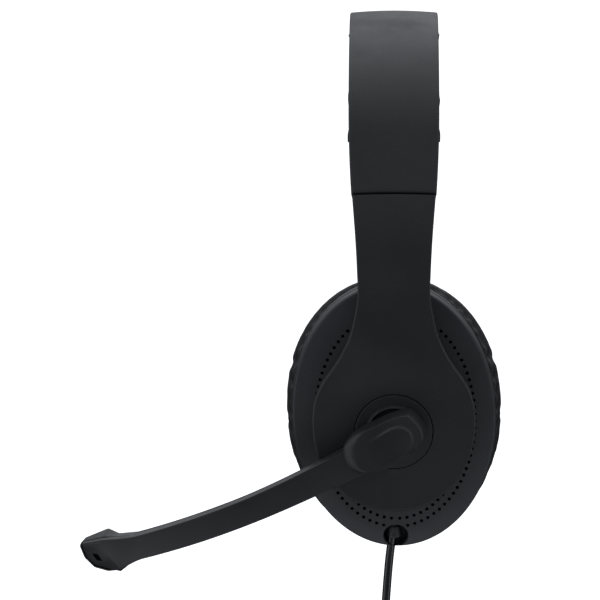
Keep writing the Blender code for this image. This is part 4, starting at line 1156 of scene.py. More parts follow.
def root_shape():
    """A wide bevel up to a flat top with a scoop."""
    foot = by_angle(round_polygon(ROOT_FOOT, 1.4, 4), ROOT_CENTRE, ROOT_STEPS)
    top = by_angle(round_polygon(ROOT_TOP, 1.5, 4), ROOT_CENTRE, ROOT_STEPS)
    rings = []
    for inward, rise in ROOT_LAYERS:
        ring = []
        for low, high in zip(foot, top):
            start = 3.6 + 2.5 * float(smoothstep(-low.x, 8.5, 13.0))
            out = ROOT_LOW if rise is None else start + (ROOT_HIGH - start) * rise
            ring.append((*(low + (high - low) * inward), out))
        rings.append(ring)
    rings.append([(y, up, ROOT_HIGH) for y, up in inset_polygon(top, 0.36)])
    points, faces = loft(rings)
    verts = [cup(LEFT, *point) for point in points]
    faces.pop()                             # the scooped top takes this cap's place
    rim = [Vector(point[:2]) for point in rings[-1]]
    edges = [(i, (i + 1) % ROOT_STEPS) for i in range(ROOT_STEPS)]
    inner = points_inside(inset_polygon(rim, 0.35), 0.42)
    net = delaunay_2d_cdt(rim + inner, edges, [], 1, 1e-5)
    flat = np.array([(p.x, p.y) for p in net[0]])
    scoop = scoop_depth(flat)
    number = {}
    for i, (y, up) in enumerate(flat):
        source = net[3][i]
        if source and source[0] < ROOT_STEPS:
            number[i] = (len(rings) - 1) * ROOT_STEPS + source[0]
        else:
            number[i] = len(verts)
            verts.append(cup(LEFT, y, up, ROOT_HIGH - float(scoop[i])))
    for corners in net[2]:
        face = tuple(number[i] for i in corners)
        if len(set(face)) == len(face):
            faces.append(face)
    return verts, faces


# ------------------------------------------------------------------ microphone end
# Everything here is (along, up) or (along, up, depth) in boom coordinates.
# Front of the pod: its flat face ...
FACE_FOOT = ((105.0, -5.85, 0.0), (108.3, -6.2, 0.0), (111.7, -7.0, 0.0), (115.3, -7.9, 0.0))
FACE_HEAD = ((105.0, 2.8, 0.0), (108.3, 2.95, 0.0), (112.0, 3.4, 0.0), (115.2, 4.0, 0.0))
FACE_NOSE = ((115.9, -6.6, 0.0), (116.9, -3.6, 0.0), (118.7, -0.2, 0.0), (120.1, 2.3, 0.06),
             (119.4, 3.7, 0.04), (117.9, 4.3, 0.0))
# ... and the edge round it, which the back repeats at POD_DEPTH
EDGE_FOOT = ((105.0, -6.15, 0.35), (108.3, -6.5, 0.35), (111.7, -7.3, 0.35), (115.7, -9.1, 0.5))
EDGE_HEAD = ((105.0, 3.1, 0.35), (108.3, 3.3, 0.35), (112.0, 3.75, 0.35), (115.2, 4.35, 0.35))
EDGE_NOSE = ((119.8, -7.6, 1.25), (124.8, -5.2, 1.75), (127.0, -2.0, 1.85), (127.2, 2.2, 1.7),
             (126.4, 4.7, 0.8), (118.3, 4.75, 0.4))
POD_DEPTH = 2.4
PORT = ((124.3, -0.05), (121.75, -0.6), (121.15, -3.85), (123.4, -3.3))
# outlines that the tub behind it is made from
POD_EDGE = ((105.0, 3.05), (105.0, -6.0), (108.3, -6.4), (111.7, -7.2), (115.6, -8.7),
            (119.8, -7.6), (124.8, -5.2), (127.0, -2.0), (127.2, 2.3), (126.4, 4.7),
            (118.3, 4.7), (112.0, 3.7))
TUB_FRONT = ((106.4, 2.9), (106.4, -6.1), (108.4, -6.4), (111.7, -7.2), (115.9, -9.45),
             (121.4, -8.7), (126.1, -6.1), (128.4, -1.6), (128.5, 3.4), (127.3, 4.8),
             (118.0, 5.0), (112.4, 3.7))
TUB_TAIL = ((106.4, 2.1), (106.4, -6.0), (108.4, -6.3), (111.7, -7.1), (115.8, -8.7),
            (121.4, -8.1), (126.5, -5.6), (129.3, -1.3), (129.4, 3.0), (128.2, 4.25),
            (117.7, 6.1), (114.2, 3.2))
# share from front to tail outline, inset, depth, extra depth away from the front's edge
TUB_LAYERS = ((0.0, 1.1, 7.2, 0.0), (0.0, 1.1, 2.75, 0.9), (0.0, 0.75, 2.72, 0.9),
              (0.0, 0.70, 2.7, 0.5), (0.0, 0.66, 2.7, -0.35), (0.0, 0.58, 2.7, -0.5),
              (0.0, 0.16, 2.72, -0.55), (0.0, 0.05, 2.8, -0.5), (0.0, 0.0, 2.95, -0.35),
              (0.15, 0.0, 3.6, 0.0), (0.5, 0.0, 5.3, 0.0), (0.95, 0.0, 7.4, 0.0),
              (1.0, 0.1, 7.8, 0.0), (1.0, 0.35, 8.08, 0.0), (1.0, 0.8, 8.2, 0.0))


def bevelled(shape, width):
    """A faceted shape whose edges get a small real bevel."""
    bm = bmesh_of(shape)
    sharp = [e for e in bm.edges
             if len(e.link_faces) == 2 and e.calc_face_angle(0.0) > radians(14.0)]
    bmesh.ops.bevel(bm, geom=sharp, offset=width, offset_type="OFFSET", segments=2,
                    profile=0.5, affect="EDGES", clamp_overlap=True)
    bmesh.ops.remove_doubles(bm, verts=bm.verts, dist=1e-5)
    bm.verts.ensure_lookup_table()
    bm.verts.index_update()
    out = [tuple(v.co) for v in bm.verts], [tuple(v.index for v in f.verts) for f in bm.faces]
    bm.free()
    return out


def pod_front():
    """The boom's shell widens into a flat face, a ridge, a sloped port facet and a brow."""
    verts, faces = [], []

    def put(columns):
        """Adds point by point across matching tables; returns the numbers of each."""
        rows = []
        for points in zip(*columns):
            rows.append(range(len(verts), len(verts) + len(points)))
            verts.extend(boom(*point) for point in points)
        return [list(numbers) for numbers in zip(*rows)]

    back_foot, back_head, back_nose = ([(along, up, POD_DEPTH) for along, up, _ in edge]
                                       for edge in (EDGE_FOOT, EDGE_HEAD, EDGE_NOSE))
    foot, head, edge_foot, edge_head, low_foot, low_head = put(
        (FACE_FOOT, FACE_HEAD, EDGE_FOOT, EDGE_HEAD, back_foot, back_head))
    nose, edge_nose, low_nose = put((FACE_NOSE, EDGE_NOSE, back_nose))
    for i in range(3):
        for one, two in ((foot, head), (foot, edge_foot), (head, edge_head),
                         (edge_foot, low_foot), (edge_head, low_head), (low_foot, low_head)):
            faces.append((one[i], one[i + 1], two[i + 1], two[i]))
    face_run = [foot[3], *nose, head[3]]
    edge_run = [edge_foot[3], *edge_nose, edge_head[3]]
    low_run = [low_foot[3], *low_nose, low_head[3]]
    faces += [face_run, low_run]
    for i in range(7):
        for one, two in ((face_run, edge_run), (edge_run, low_run)):
            faces.append((one[i], one[i + 1], two[i + 1], two[i]))
    faces.append((foot[0], head[0], edge_head[0], low_head[0], low_foot[0], edge_foot[0]))
    return bevelled((verts, faces), 0.16)


def make_boom_shell():
    shell = piece("boom_shell", boom_loft(boom_section, 13.0, 105.6, 90), FINE, "boom",
                  "boom_outer", sharp=30)
    boolean(shell, [root_shape()], "UNION", sharp=24)
    boolean(shell, [pod_front()], "UNION", sharp=24)
    outline = round_polygon(PORT, 0.3, 3)
    boolean(shell, [loft([[boom(along, up, depth) for along, up in outline]
                          for depth in (-1.0, 3.2)])], sharp=24)


def lip_rise():
    """For each point of the tub's rim, how far it stands clear of the front's edge."""
    edges = list(zip(POD_EDGE, POD_EDGE[1:] + POD_EDGE[:1]))
    gaps = [min(segment_distance(point, *edge) for edge in edges)
            for point in round_polygon(TUB_FRONT, 0.7, 5)]
    return [float(smoothstep(gap, 0.75, 1.15)) for gap in gaps]


def tub_shape():
    """Back half of the microphone end, whose lip stands up round the front piece."""
    lip = lip_rise()
    rings = []
    for share, inset, base, rise in TUB_LAYERS:
        outline = [tuple(Vector(front) + (Vector(tail) - Vector(front)) * share)
                   for front, tail in zip(TUB_FRONT, TUB_TAIL)]
        loop = inset_polygon(round_polygon(outline, 0.7, 5), inset)
        rings.append([boom(along, up, base + rise * part)
                      for (along, up), part in zip(loop, lip)])
    return loft(rings)


make_boom_shell()
piece("boom_back", boom_loft(boom_back_section, 15.2, BOOM_LENGTH, 80), FINE, "boom",
      "boom_inner", sharp=35)
piece("mic_shell", tub_shape(), FINE, "boom", "mic_cover", sharp=30)

# ------------------------------------------------------------------ ear cup face
# inset from the rim, distance out
DOME_TABLE = ((0.0, -13.75), (0.7, -13.5), (1.9, -13.2), (5.0, -12.5), (9.0, -11.8),
              (14.0, -11.0), (20.0, -10.2), (25.0, -9.5))
DOME_INSETS = np.linspace(0.0, 25.0, 251)
DOME_HEIGHTS = np.array([curve_at(DOME_TABLE, float(x)) for x in DOME_INSETS])
FACE_START = 1.9                            # insets between which the face runs
FACE_END = CUP_A - PIT_R - 1.5
RIM_STEPS, PIT_STEPS, VENT_STEPS = 168, 72, 12
VENT_R, VENT_PITCH = 0.66, 2.7


def loop_axes(inset):
    """Half axes and centre of a loop on the dome: an oval that turns into the round pit."""
    f = np.clip((inset - FACE_START) / (FACE_END - FACE_START), 0.0, 1.0)
    half_up = (CUP_B - inset) + (PIT_R + 1.5 - (CUP_B - FACE_END)) * f * f
    return CUP_A - inset, half_up, CUP_UP * (1 - f)


def inset_at(y, up):
    """Which dome loop passes through a point of the cup's face."""
    lean_cos, lean_sin = cos(radians(CUP_LEAN)), sin(radians(CUP_LEAN))
    low, high = np.zeros_like(y), np.full_like(y, 24.0)
    for _ in range(36):
        middle = 0.5 * (low + high)
        half_y, half_up, centre = loop_axes(middle)
        across = y * lean_cos + (up - centre) * lean_sin
        along = -y * lean_sin + (up - centre) * lean_cos
        outside = (across / half_y) ** 2 + (along / half_up) ** 2 > 1
        high = np.where(outside, middle, high)
        low = np.where(outside, low, middle)
    return 0.5 * (low + high)


def oval(half_y, half_up, centre, steps, phase=0.0, power=2.0, lean=CUP_LEAN):
    """(y, up) points of a leaning oval; a power above 2 makes it squarer."""
    lean_cos, lean_sin = cos(radians(lean)), sin(radians(lean))
    angle = 2 * pi * (np.arange(steps) + phase) / steps
    across, along = np.cos(angle), np.sin(angle)
    across = half_y * np.sign(across) * np.abs(across) ** (2 / power)
    along = half_up * np.sign(along) * np.abs(along) ** (2 / power)
    return np.stack([across * lean_cos - along * lean_sin,
                     centre + across * lean_sin + along * lean_cos], -1)


def at_out(flat, out):
    """(y, up) points set at a distance out."""
    return np.column_stack([flat, np.full(len(flat), out)])


# The outer row of vents runs round the cup; two short inner rows show below the arm.
# half axes, distance of the first hole from the foot each way, test for keeping a hole
VENT_ROWS = (
    (29.37, 41.9, (3.96, 5.04), lambda y, up: up < 35.5 and not (up < 0 and -2.6 < y < 4.0)),
    (26.5, 38.6, (1.04, 2.06), lambda y, up: up < -24.0 and abs(y - 0.4) < 19.0),
    (23.4, 35.2, (1.04, 2.06), lambda y, up: up < -32.4 and abs(y - 0.65) < 7.0))


def vent_centres():
    """Holes at an even pitch on ovals that follow the rim, counted from the foot."""
    found = []
    for half_y, half_up, starts, keep in VENT_ROWS:
        line = oval(half_y, half_up, 0.59, 1440, lean=1.07) + np.array((0.42, 0.0))
        line = np.roll(line, -1080, axis=0)
        line = np.vstack([line, line[:1]])
        steps = np.linalg.norm(np.diff(line, axis=0), axis=1)
        run = np.concatenate([[0.0], np.cumsum(steps)])
        half = run[-1] / 2.0
        for forward, start in zip((True, False), starts):
            for k in range(int(half / VENT_PITCH)):
                at = start + VENT_PITCH * k
                if at > half - 1.3:
                    break
                at = at if forward else run[-1] - at
                y, up = (float(np.interp(at, run, line[:, i])) for i in (0, 1))
                if keep(y, up):
                    found.append((y, up))
    return np.array(found)


VENTS = vent_centres()


def cup_face():
    """Flat triangulation of the face with its vent holes.

    Returns the (y, up) points, the triangles and where each input point ended up.
    """
    turn = 2 * np.pi * np.arange(VENT_STEPS) / VENT_STEPS

    def circle(centre, radius, angles):
        return centre + radius * np.stack([np.cos(angles), np.sin(angles)], -1)

    rings = [oval(*loop_axes(FACE_START), RIM_STEPS), oval(*loop_axes(FACE_END), PIT_STEPS)]
    rings += [circle(centre, VENT_R, turn) for centre in VENTS]
    points, edges = [], []
    for ring in rings:
        start, count = len(points), len(ring)
        edges += [(start + i, start + (i + 1) % count) for i in range(count)]
        points += list(ring)
    for centre in VENTS:
        points += list(circle(centre, VENT_R + 0.42, turn + 0.26))
    for i, inset in enumerate(np.linspace(FACE_START, FACE_END, 17)[1:-1]):
        axes = loop_axes(inset)
        count = int(2 * pi * hypot(axes[0], axes[1]) / 1.414 / 1.9)
        for point in oval(*axes, count, 0.5 * (i % 2)):
            if ((VENTS - point) ** 2).sum(1).min() > (VENT_R + 1.0) ** 2:
                points.append(point)
    points = [Vector((float(y), float(up))) for y, up in points]
    net = delaunay_2d_cdt(points, edges, [], 0, 1e-6)
    flat = np.array([(p.x, p.y) for p in net[0]])
    triangles = np.array([face for face in net[2] if len(face) == 3])
    middle = flat[triangles].mean(axis=1)
    inset = inset_at(middle[:, 0], middle[:, 1])
    keep = (inset > FACE_START - 1e-3) & (inset < FACE_END - 1e-3)
    gap = np.sqrt(((middle[:, None, :] - VENTS[None]) ** 2).sum(-1)).min(1)
    keep &= gap > VENT_R * cos(pi / VENT_STEPS) - 1e-3
    number = {j: i for i, sources in enumerate(net[3]) for j in sources}
    return flat, triangles[keep], number


FACE = cup_face()

# ------------------------------------------------------------------ ear cup shell
# inset, out: down the outside of the cup, round a groove and back up inside
RIM_PROFILE = ((1.3, -13.34), (0.85, -13.45), (0.58, -13.55), (0.34, -13.72), (0.16, -13.97),
               (0.04, -14.3), (0.0, -14.7), (0.0, -17.4), (0.05, -17.52), (0.32, -17.6),
               (0.32, -17.85), (0.05, -17.93), (0.0, -18.05), (0.0, -20.35), (0.12, -20.6),
               (0.35, -20.7), (WALL, -20.7), (WALL, -15.6))
# radius, out: down into the pit and back under its floor
PIT_PROFILE = ((13.6, -9.55), (13.1, -9.75), (12.7, -10.1), (PIT_R, -10.6), (PIT_R, -14.6),
               (12.2, -14.9), (2.6, -14.9), (2.6, -16.2), (13.9, -16.2))


def cup_shell(side):
    flat, triangles, number = FACE
    height = np.interp(inset_at(flat[:, 0], flat[:, 1]), DOME_INSETS, DOME_HEIGHTS)
    under = len(flat)                       # numbers of the inner skin start here
    points = [np.column_stack([flat, height]), np.column_stack([flat, height - WALL])]
    total = 2 * under
    faces = [tuple(t) for t in triangles] + [tuple(t[::-1] + under) for t in triangles]

    def skins(start, count):
        """The same loop on the outer and on the inner skin."""
        outer = [number[start + i] for i in range(count)]
        return outer, [i + under for i in outer]

    for k in range(len(VENTS)):
        faces += quads(*skins(RIM_STEPS + PIT_STEPS + k * VENT_STEPS, VENT_STEPS))
    rim = [at_out(oval(CUP_A - inset, CUP_B - inset, CUP_UP, RIM_STEPS), out)
           for inset, out in RIM_PROFILE]
    pit = [at_out(oval(radius, radius, 0.0, PIT_STEPS), out) for radius, out in PIT_PROFILE]
    for start, count, rings in ((0, RIM_STEPS, rim), (RIM_STEPS, PIT_STEPS, pit)):
        outer, inner = skins(start, count)
        chain = [outer]
        for ring in rings:
            chain.append(list(range(total, total + count)))
            points.append(ring)
            total += count
        chain.append(inner)
        for one, two in zip(chain, chain[1:]):
            faces += quads(one, two)
    return cup_many(side, np.vstack(points)), faces


# ------------------------------------------------------------------ ear cushions
CUSHION_A, CUSHION_B = 39.4, 49.9
CUSHION_ROWS = 112
SOFT_LEAN, SOFT_POWER = 1.5, 2.12           # oval of the cushion and the cloth inside it
BACK_IN, BACK_OUT = 19.1, 1.35              # insets between which the flat back runs
# inset from the widest line, out; a little under the cushion's final size
CUSHION_PROFILE = [(BACK_OUT, -22.75), (0.95, -24.0), (0.85, -26.6), (1.05, -29.6),
                   (1.85, -32.9), (3.5, -36.1), (6.0, -38.8), (9.2, -40.3), (12.2, -40.6),
                   (15.0, -39.9), (17.2, -38.0), (18.4, -35.2), (18.9, -31.8), (19.0, -28.2),
                   (19.1, -25.2), (BACK_IN, -22.75)]
CUSHION_PROFILE += [(BACK_IN - (BACK_IN - BACK_OUT) * i / 13.0, -22.7) for i in range(1, 13)]


def cushion_grid():
    """Inflated cloth with seams and folds, in cup coordinates."""
    columns = []
    for inset, out in CUSHION_PROFILE:
        f = min(max(inset / 19.4, 0.0), 1.0)
        flat = oval(CUSHION_A - 0.45 - inset,
                    CUSHION_B - inset - (CUSHION_B - 19.4 - 29.0) * f,
                    CUP_UP - 0.7 - 0.11 * (-out - 22.6), CUSHION_ROWS,
                    power=SOFT_POWER, lean=SOFT_LEAN)
        columns.append(at_out(flat, out))
    grid = np.ascontiguousarray(np.stack(columns, 1))
    pinned = np.zeros(grid.shape[:2])
    pinned[:, 15:] = 1.0
    pinned[:, 0] = 1.0
    pinned[:, (1, 14)] = 0.35
    grid = cloth_inflate("sim_cushion", grid, True, pinned, pressure=4.0, cap=1.9,
                         slack=-0.05, stiff=9.0)
    grid = refine(grid, 3, 3, True)
    rows, cols = grid.shape[:2]
    fold = creases(rows, cols, ((4.0, 74, 1.5), (39.0, 70, 1.5)),
                   reach=5.5, spread=0.30, wrap=True, strength=0.22)
    fold += creases(rows, cols, ((25.0, 26, 3.0),),
                    reach=6.0, spread=0.5, wrap=True, strength=0.10)
    col = np.arange(cols)[None, :]
    turn = np.arange(rows)[:, None] * 2 * np.pi / rows
    seam = -0.60 * groove(col, 4.6, 0.85) - 0.50 * groove(col, 33.0, 0.85)
    slow = 0.22 * np.sin(turn * 7 + 1.0) * np.sin(turn * 3 + 0.4) * groove(col, 20.0, 9.0)
    free = 1.0 - np.clip((col - 42.0) / 3.0, 0, 1)
    return grid + grid_normals(grid, True) * ((fold + seam + slow) * free)[..., None]


CUSHION = cushion_grid()


# ------------------------------------------------------------------ ear cups
def pad_ring_shape(side):
    """Flat ring that carries the cushion."""
    section = ((0.3, -21.0), (0.0, -21.25), (0.0, -22.0), (0.3, -22.3))     # inset, out
    rings = [at_out(oval(CUP_A - 0.9 - inset, CUP_B - 3.2 - inset, CUP_UP, 140), out)
             for inset, out in section]
    section = ((0.3, -22.3), (0.0, -22.0), (0.0, -21.3), (0.3, -21.0))      # outset, out
    rings += [at_out(oval(22.0 + outset, 31.0 + outset, CUP_UP, 140), out)
              for outset, out in section]
    return loft([cup_many(side, ring) for ring in rings], wrap=True)


def ear_cloth_shape(side):
    """Speaker cloth: a stretched sheet whose middle lies a little further out."""
    layers = ((1.0, -23.55), (1.0, -23.95), (0.985, -24.05), (0.9, -24.15), (0.75, -24.05),
              (0.58, -23.8), (0.42, -23.62), (0.25, -23.52), (0.08, -23.5))     # size, out
    return loft([cup_many(side, at_out(oval(19.5 * size, 28.5 * size, CUP_UP + 0.3, 96,
                                            power=SOFT_POWER, lean=SOFT_LEAN), out))
                 for size, out in layers])


def make_cup(side, tag):
    body = tag + "_cup"
    housing = piece(tag + "_cup_shell", cup_shell(side), CUP_SATIN, body,
                    tag + "_cup_housing", sharp=34)
    piece(tag + "_ear_pad", loft(cup_many(side, CUSHION), wrap=True), LEATHER, body,
          tag + "_ear_cushion", sharp=75)
    piece(tag + "_pad_ring", pad_ring_shape(side), MATTE, body, tag + "_cushion_plate")
    piece(tag + "_ear_cloth", ear_cloth_shape(side), CLOTH, body, tag + "_ear_scrim", sharp=60)
    return housing


left_shell = make_cup(LEFT, "left")
make_cup(RIGHT, "right")

# ------------------------------------------------------------------ cable exit
NOTCH_Y, NOTCH_UP, NOTCH_R = 0.7, -45.3, 4.4
CABLE_Y, CABLE_OUT, CABLE_R = 0.1, -15.7, 1.58
at_notch = shifted(at_left, NOTCH_Y, NOTCH_UP, 0)


def along_cable(y, out, up):
    return cup(LEFT, CABLE_Y + y, NOTCH_UP + up, CABLE_OUT + out)


def cut_cable_exit():
    """A round notch at the foot of the left cup, with a bore for the boot above it."""
    boolean(left_shell, [block(at_left, -5.4, 7.4, NOTCH_UP - 1.0, NOTCH_UP + 6.0,
                               -18.9, -13.5)], "UNION", sharp=34)
    # a small round guard closes the foot of the notch on the head's side of the cable
    low = -(CUP_B - CUP_UP + NOTCH_UP) - 0.75
    guard = ((-5.8, low + 0.55), (-2.0, low + 0.05), (2.0, low), (6.2, low + 0.45), (6.4, 0.5),
             (-5.8, 0.5))
    boolean(left_shell, [loft([[at_notch(y, up, out) for y, up in guard]
                               for out in (-19.0, -17.9)])], "UNION", sharp=34)
    wide = NOTCH_R + 0.3
    notch = lathe(at_notch, ((0, -18.3), (4.1, -18.3), (NOTCH_R, -18.0), (NOTCH_R, -13.9),
                             (wide, -13.3), (wide, -9), (0, -9)), 72)
    bore = lathe(along_cable, ((0, 0.8), (1.6, 0.8), (1.6, 8.8), (0, 8.8)), 32)
    boolean(left_shell, [notch, bore], sharp=34)


cut_cable_exit()
# radius, height
BOOT_PROFILE = ((0.0, -1.1), (2.3, -1.1), (2.46, -1.02), (2.56, -0.8), (2.5, -0.4), (2.36, 0.6),
                (2.2, 1.7), (2.05, 2.6), (1.95, 2.95), (1.8, 3.1), (1.3, 3.1), (1.3, 7.6),
                (0.0, 7.6))
piece("cable_boot", lathe(along_cable, BOOT_PROFILE, 48), BOOT, "left_cup", "strain_relief",
      sharp=35)

# drop below EARS_Z, y, x
CABLE_POINTS = ((47.2, -0.85, 41.3), (50.2, -1.15, 40.2), (55.4, -1.75, 38.9),
                (62.8, -2.4, 37.9), (70.3, -2.95, 37.6), (84.0, -3.8, 37.7), (98.0, -4.1, 37.9),
                (112.0, -4.2, 38.0), (120.0, -4.2, 38.0))
CABLE_START = 46.2
CABLE_END, PLUG_Y, PLUG_X = CABLE_POINTS[-1]
cable_x = [(drop, x) for drop, y, x in CABLE_POINTS]
cable_y = [(drop, y) for drop, y, x in CABLE_POINTS]
cable_path = [(curve_at(cable_x, drop), curve_at(cable_y, drop), EARS_Z - drop)
              for drop in np.linspace(CABLE_START, CABLE_END, 141)]
piece("cable_tail", tube(cable_path, CABLE_R, 32), JACKET, "left_cup", "cable", sharp=60)


# ------------------------------------------------------------------ plug
def at_plug(x, y, z):
    """x and y from the plug's axis, z from EARS_Z."""
    return PLUG_X + x, PLUG_Y + y, z + EARS_Z


def plug_loft(levels, steps=6):
    """Loft of rounded rectangles: half x, half y, corner radius, z."""
    rings = []
    for half_x, half_y, radius, z in levels:
        ring = []
        for x, y, start in ((1, 1, 0), (-1, 1, 90), (-1, -1, 180), (1, -1, 270)):
            ring += arc(x * (half_x - radius), y * (half_y - radius), radius, start,
                        start + 90, steps)
        rings.append([at_plug(x, y, z) for x, y in ring])
    return loft(rings)


def make_plug_grip():
    """Grip with a stepped neck and ribs across its two broad faces."""
    levels = [(2.0, 2.0, 1.5, -120.3), (2.35, 2.35, 1.6, -120.7)]
    for k in range(4):
        z = -121.6 - 1.6 * k
        grow = 0.12 * k
        for size, radius, drop in ((2.5, 1.7, 0.0), (2.5, 1.7, 0.7), (2.2, 1.6, 0.9),
                                   (2.2, 1.6, 1.4)):
            levels.append((size + grow * 0.5, size + grow, radius, z - drop))
    levels += [(2.8, 3.3, 1.8, -128.2), (3.1, 5.0, 1.9, -129.6), (3.5, 6.9, 2.0, -131.0),
               (3.85, 7.6, 2.0, -132.2), (4.0, 7.8, 2.0, -134.0), (4.0, 7.8, 2.0, -149.6),
               (3.85, 7.65, 1.9, -150.5), (3.6, 7.4, 1.8, -151.0)]
    grip = piece("plug_grip", plug_loft(levels), MATTE, "left_cup", "plug_body", sharp=40)
    grooves = []
    for k in range(5):
        z = -137.2 - 2.1 * k
        for x0, x1 in ((-4.6, -3.55), (3.55, 4.6)):
            grooves.append(block(at_plug, x0, x1, -4.6, 4.6, z, z - 0.9))
    boolean(grip, [merged(grooves)], sharp=40)


def make_plug_sheath():
    """Metal sheath, open at its end, with two windows in each broad face."""
    levels = ((2.25, 6.0, 0.6, -151.3), (2.25, 6.0, 0.6, -162.8), (2.15, 5.9, 0.5, -163.0),
              (1.95, 5.7, 0.4, -163.0), (1.9, 5.65, 0.4, -162.7), (1.9, 5.65, 0.4, -152.6))
    sheath = piece("plug_sheath", plug_loft(levels), NICKEL, "left_cup", "plug_shell", sharp=35)
    windows = [block(at_plug, x0, x1, y - 1.1, y + 1.1, -155.6, -157.8)
               for x0, x1 in ((-3.0, -1.4), (1.4, 3.0)) for y in (-2.8, 2.8)]
    boolean(sheath, [merged(windows)], sharp=35)


make_plug_grip()
make_plug_sheath()
piece("plug_tongue_block", block(at_plug, -1.75, -0.1, -5.4, 5.4, -152.9, -162.2), TONGUE,
      "left_cup")
CONTACT_PITCH = 2.5
for k in range(4):
    y = CONTACT_PITCH * (k - 1.5)
    piece("plug_contact_%d" % k, block(at_plug, -0.08, 0.06, y - 0.55, y + 0.55, -153.4, -161.4),
          GOLD, "left_cup")

# ------------------------------------------------------------------ carried-over CAD nodes
FINISH = {"headband_spring": STEEL, "crossover_cable": JACKET, "boom_friction_washer": ACETAL,
          "right_cap_washer": ACETAL, "boom_clip": STEEL, "right_cap_clip": STEEL,
          "boom_wire": COPPER, "mic_element": NICKEL, "mic_boot": RUBBER, "mic_grille": FELT}
SIDE_FINISH = {"_detent_spring": STEEL, "_pivot_spider": ACETAL, "_cup_mount": ACETAL,
               "_vent_felt": FELT, "_driver_magnet": STEEL, "_driver_diaphragm": FILM}
for tag in ("left", "right"):
    FINISH.update({tag + name: material for name, material in SIDE_FINISH.items()})
for name, obj in frame["nodes"].items():
    if not obj.hide_render:
        obj.data.materials.clear()
        obj.data.materials.append(FINISH.get(name, MATTE))


# ------------------------------------------------------------------ stage, in metres
def make_stage():
    """A pale floor that curves up into a backdrop on the far side of the object."""
    floor_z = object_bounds()[0].z - 0.004
    bend_x, bend_r, half_width = -2.2, 1.4, 9.0
    outline = [(9.0, floor_z), (bend_x, floor_z)]
    outline += [(bend_x - bend_r * sin(radians(a)), floor_z + bend_r * (1 - cos(radians(a))))
                for a in range(6, 91, 6)]
    outline.append((bend_x - bend_r, 7.0))
    verts = [(x, y, z) for x, z in outline for y in (-half_width, half_width)]
    faces = [(i, i + 1, i + 3, i + 2) for i in range(0, len(verts) - 2, 2)]
    obj = object_of("stage_sheet", bmesh_of((verts, faces)))
    obj.data.shade_smooth()
    material = bpy.data.materials.new("stage_white")
    material.use_nodes = True
    inputs = material.node_tree.nodes["Principled BSDF"].inputs
    inputs["Base Color"].default_value = (0.93, 0.93, 0.93, 1)
    inputs["Roughness"].default_value = 0.9
    inputs["Specular IOR Level"].default_value = 0.1
    inputs["Emission Color"].default_value = (1, 1, 1, 1)
    inputs["Emission Strength"].default_value = 0.80
    obj.data.materials.append(material)
    obj.visible_diffuse = False
    obj.visible_glossy = False
    obj.visible_shadow = False


# ------------------------------------------------------------------ light
# brightness of each part of the tent
TENT_BASE = 0.030           # everywhere
TENT_FRONT = 0.055          # the camera's side, +X
TENT_ABOVE = 0.62
TENT_BEHIND = 0.70          # high on the far side, -X
TENT_STRIP = 1.15           # a ring at an angle from +X, below the top
TENT_NEAR = 0.10            # the camera's side towards -Y
STRIP_DEG, STRIP_SPREAD_DEG = 71, 10


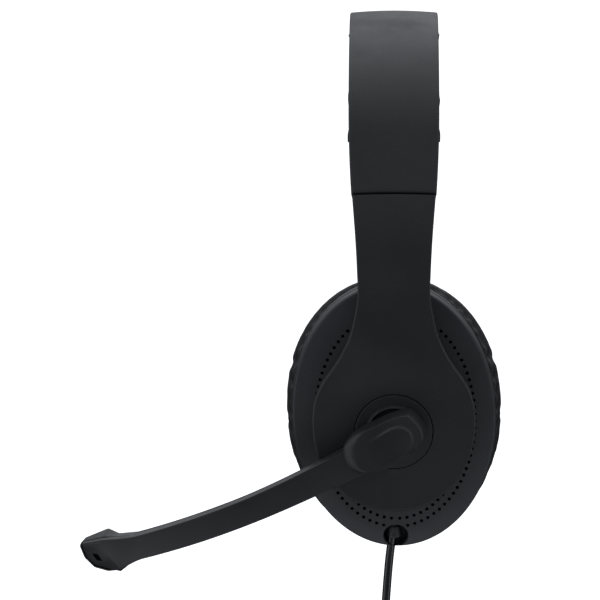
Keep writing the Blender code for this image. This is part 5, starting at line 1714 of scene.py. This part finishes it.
def light_tent():
    """White to the camera; on the object, a soft tent that is brightest above and behind."""
    world = bpy.data.worlds.new("soft_white")
    bpy.context.scene.world = world
    world.use_nodes = True
    background = world.node_tree.nodes["Background"]
    shader = Shader(world.node_tree, "Generated")
    split = shader.node("SeparateXYZ")
    shader.feed(split.inputs, {0: shader.at})
    x, y, z = split.outputs
    front = shader.remap(x, source=(-0.35, 0.25))
    above = shader.math("POWER", shader.remap(z, source=(0.0, 1.0)), 1.5)
    behind = shader.times(shader.remap(x, source=(0.1, -0.9)), shader.remap(z, source=(0.12, 0.7)))
    angle = shader.math("ARCCOSINE", x)
    off = shader.math("DIVIDE", shader.math("SUBTRACT", angle, radians(STRIP_DEG)),
                      radians(STRIP_SPREAD_DEG))
    strip = shader.math("EXPONENT", shader.times(shader.times(off, off), -1.0))
    strip = shader.times(strip, shader.remap(z, source=(0.75, 0.35)))
    strip = shader.times(strip, shader.remap(z, source=(-0.9, -0.4), target=(0.95, 1.0)))
    near = shader.times(shader.remap(y, source=(-0.2, -0.6)), front)
    total, *others = [shader.times(part, power) for part, power in (
        (front, TENT_FRONT), (above, TENT_ABOVE), (behind, TENT_BEHIND), (strip, TENT_STRIP),
        (near, TENT_NEAR))]
    for part in others + [TENT_BASE]:
        total = shader.math("ADD", total, part)
    camera_ray = shader.node("LightPath").outputs["Is Camera Ray"]
    seen = shader.node("Mix", data_type="FLOAT")
    shader.feed(seen.inputs, {0: camera_ray, 2: total, 3: 1.0})
    shader.feed(background.inputs, {0: (0.955, 0.98, 1.04, 1.0), 1: seen.outputs[0]})


def look_along(obj, way):
    obj.rotation_mode = "QUATERNION"
    obj.rotation_quaternion = way.to_track_quat("-Z", "Y")


def make_top_light():
    light = bpy.data.lights.new("top_soft", "AREA")
    light.energy = 1.2
    light.shape = "RECTANGLE"
    light.size = light.size_y = 1.3
    obj = bpy.data.objects.new("top_soft", light)
    bpy.context.scene.collection.objects.link(obj)
    obj.location = (0.10, 0.0, 1.05)
    look_along(obj, Vector((0.0, 0.0, 0.0)) - Vector((0.10, 0.0, 1.05)))


# ------------------------------------------------------------------ camera
CAMERA_FROM_DISC, CAMERA_RISE = 1500.0, 48.10       # mm out from and above the disc
CAMERA_TURN_DEG = 1.3087927                         # off the -X direction, towards -Y


def make_camera():
    scene = bpy.context.scene
    camera = bpy.data.cameras.new("camera")
    camera.sensor_width = 36.0
    camera.lens = 246.6
    view = bpy.data.objects.new("camera", camera)
    scene.collection.objects.link(view)
    eye = Vector((DISC_X + CAMERA_FROM_DISC, 0.0, DISC_Z + CAMERA_RISE)) * 0.001
    turn = radians(CAMERA_TURN_DEG)
    aim = eye + Vector((-cos(turn), -sin(turn), 0.0))
    view.location = eye
    look_along(view, aim - eye)
    camera.clip_start, camera.clip_end = 0.05, 40.0
    scene.camera = view


make_stage()
light_tent()
make_top_light()
bpy.context.scene.view_settings.view_transform = "Standard"
bpy.context.scene.view_settings.look = "None"
make_camera()
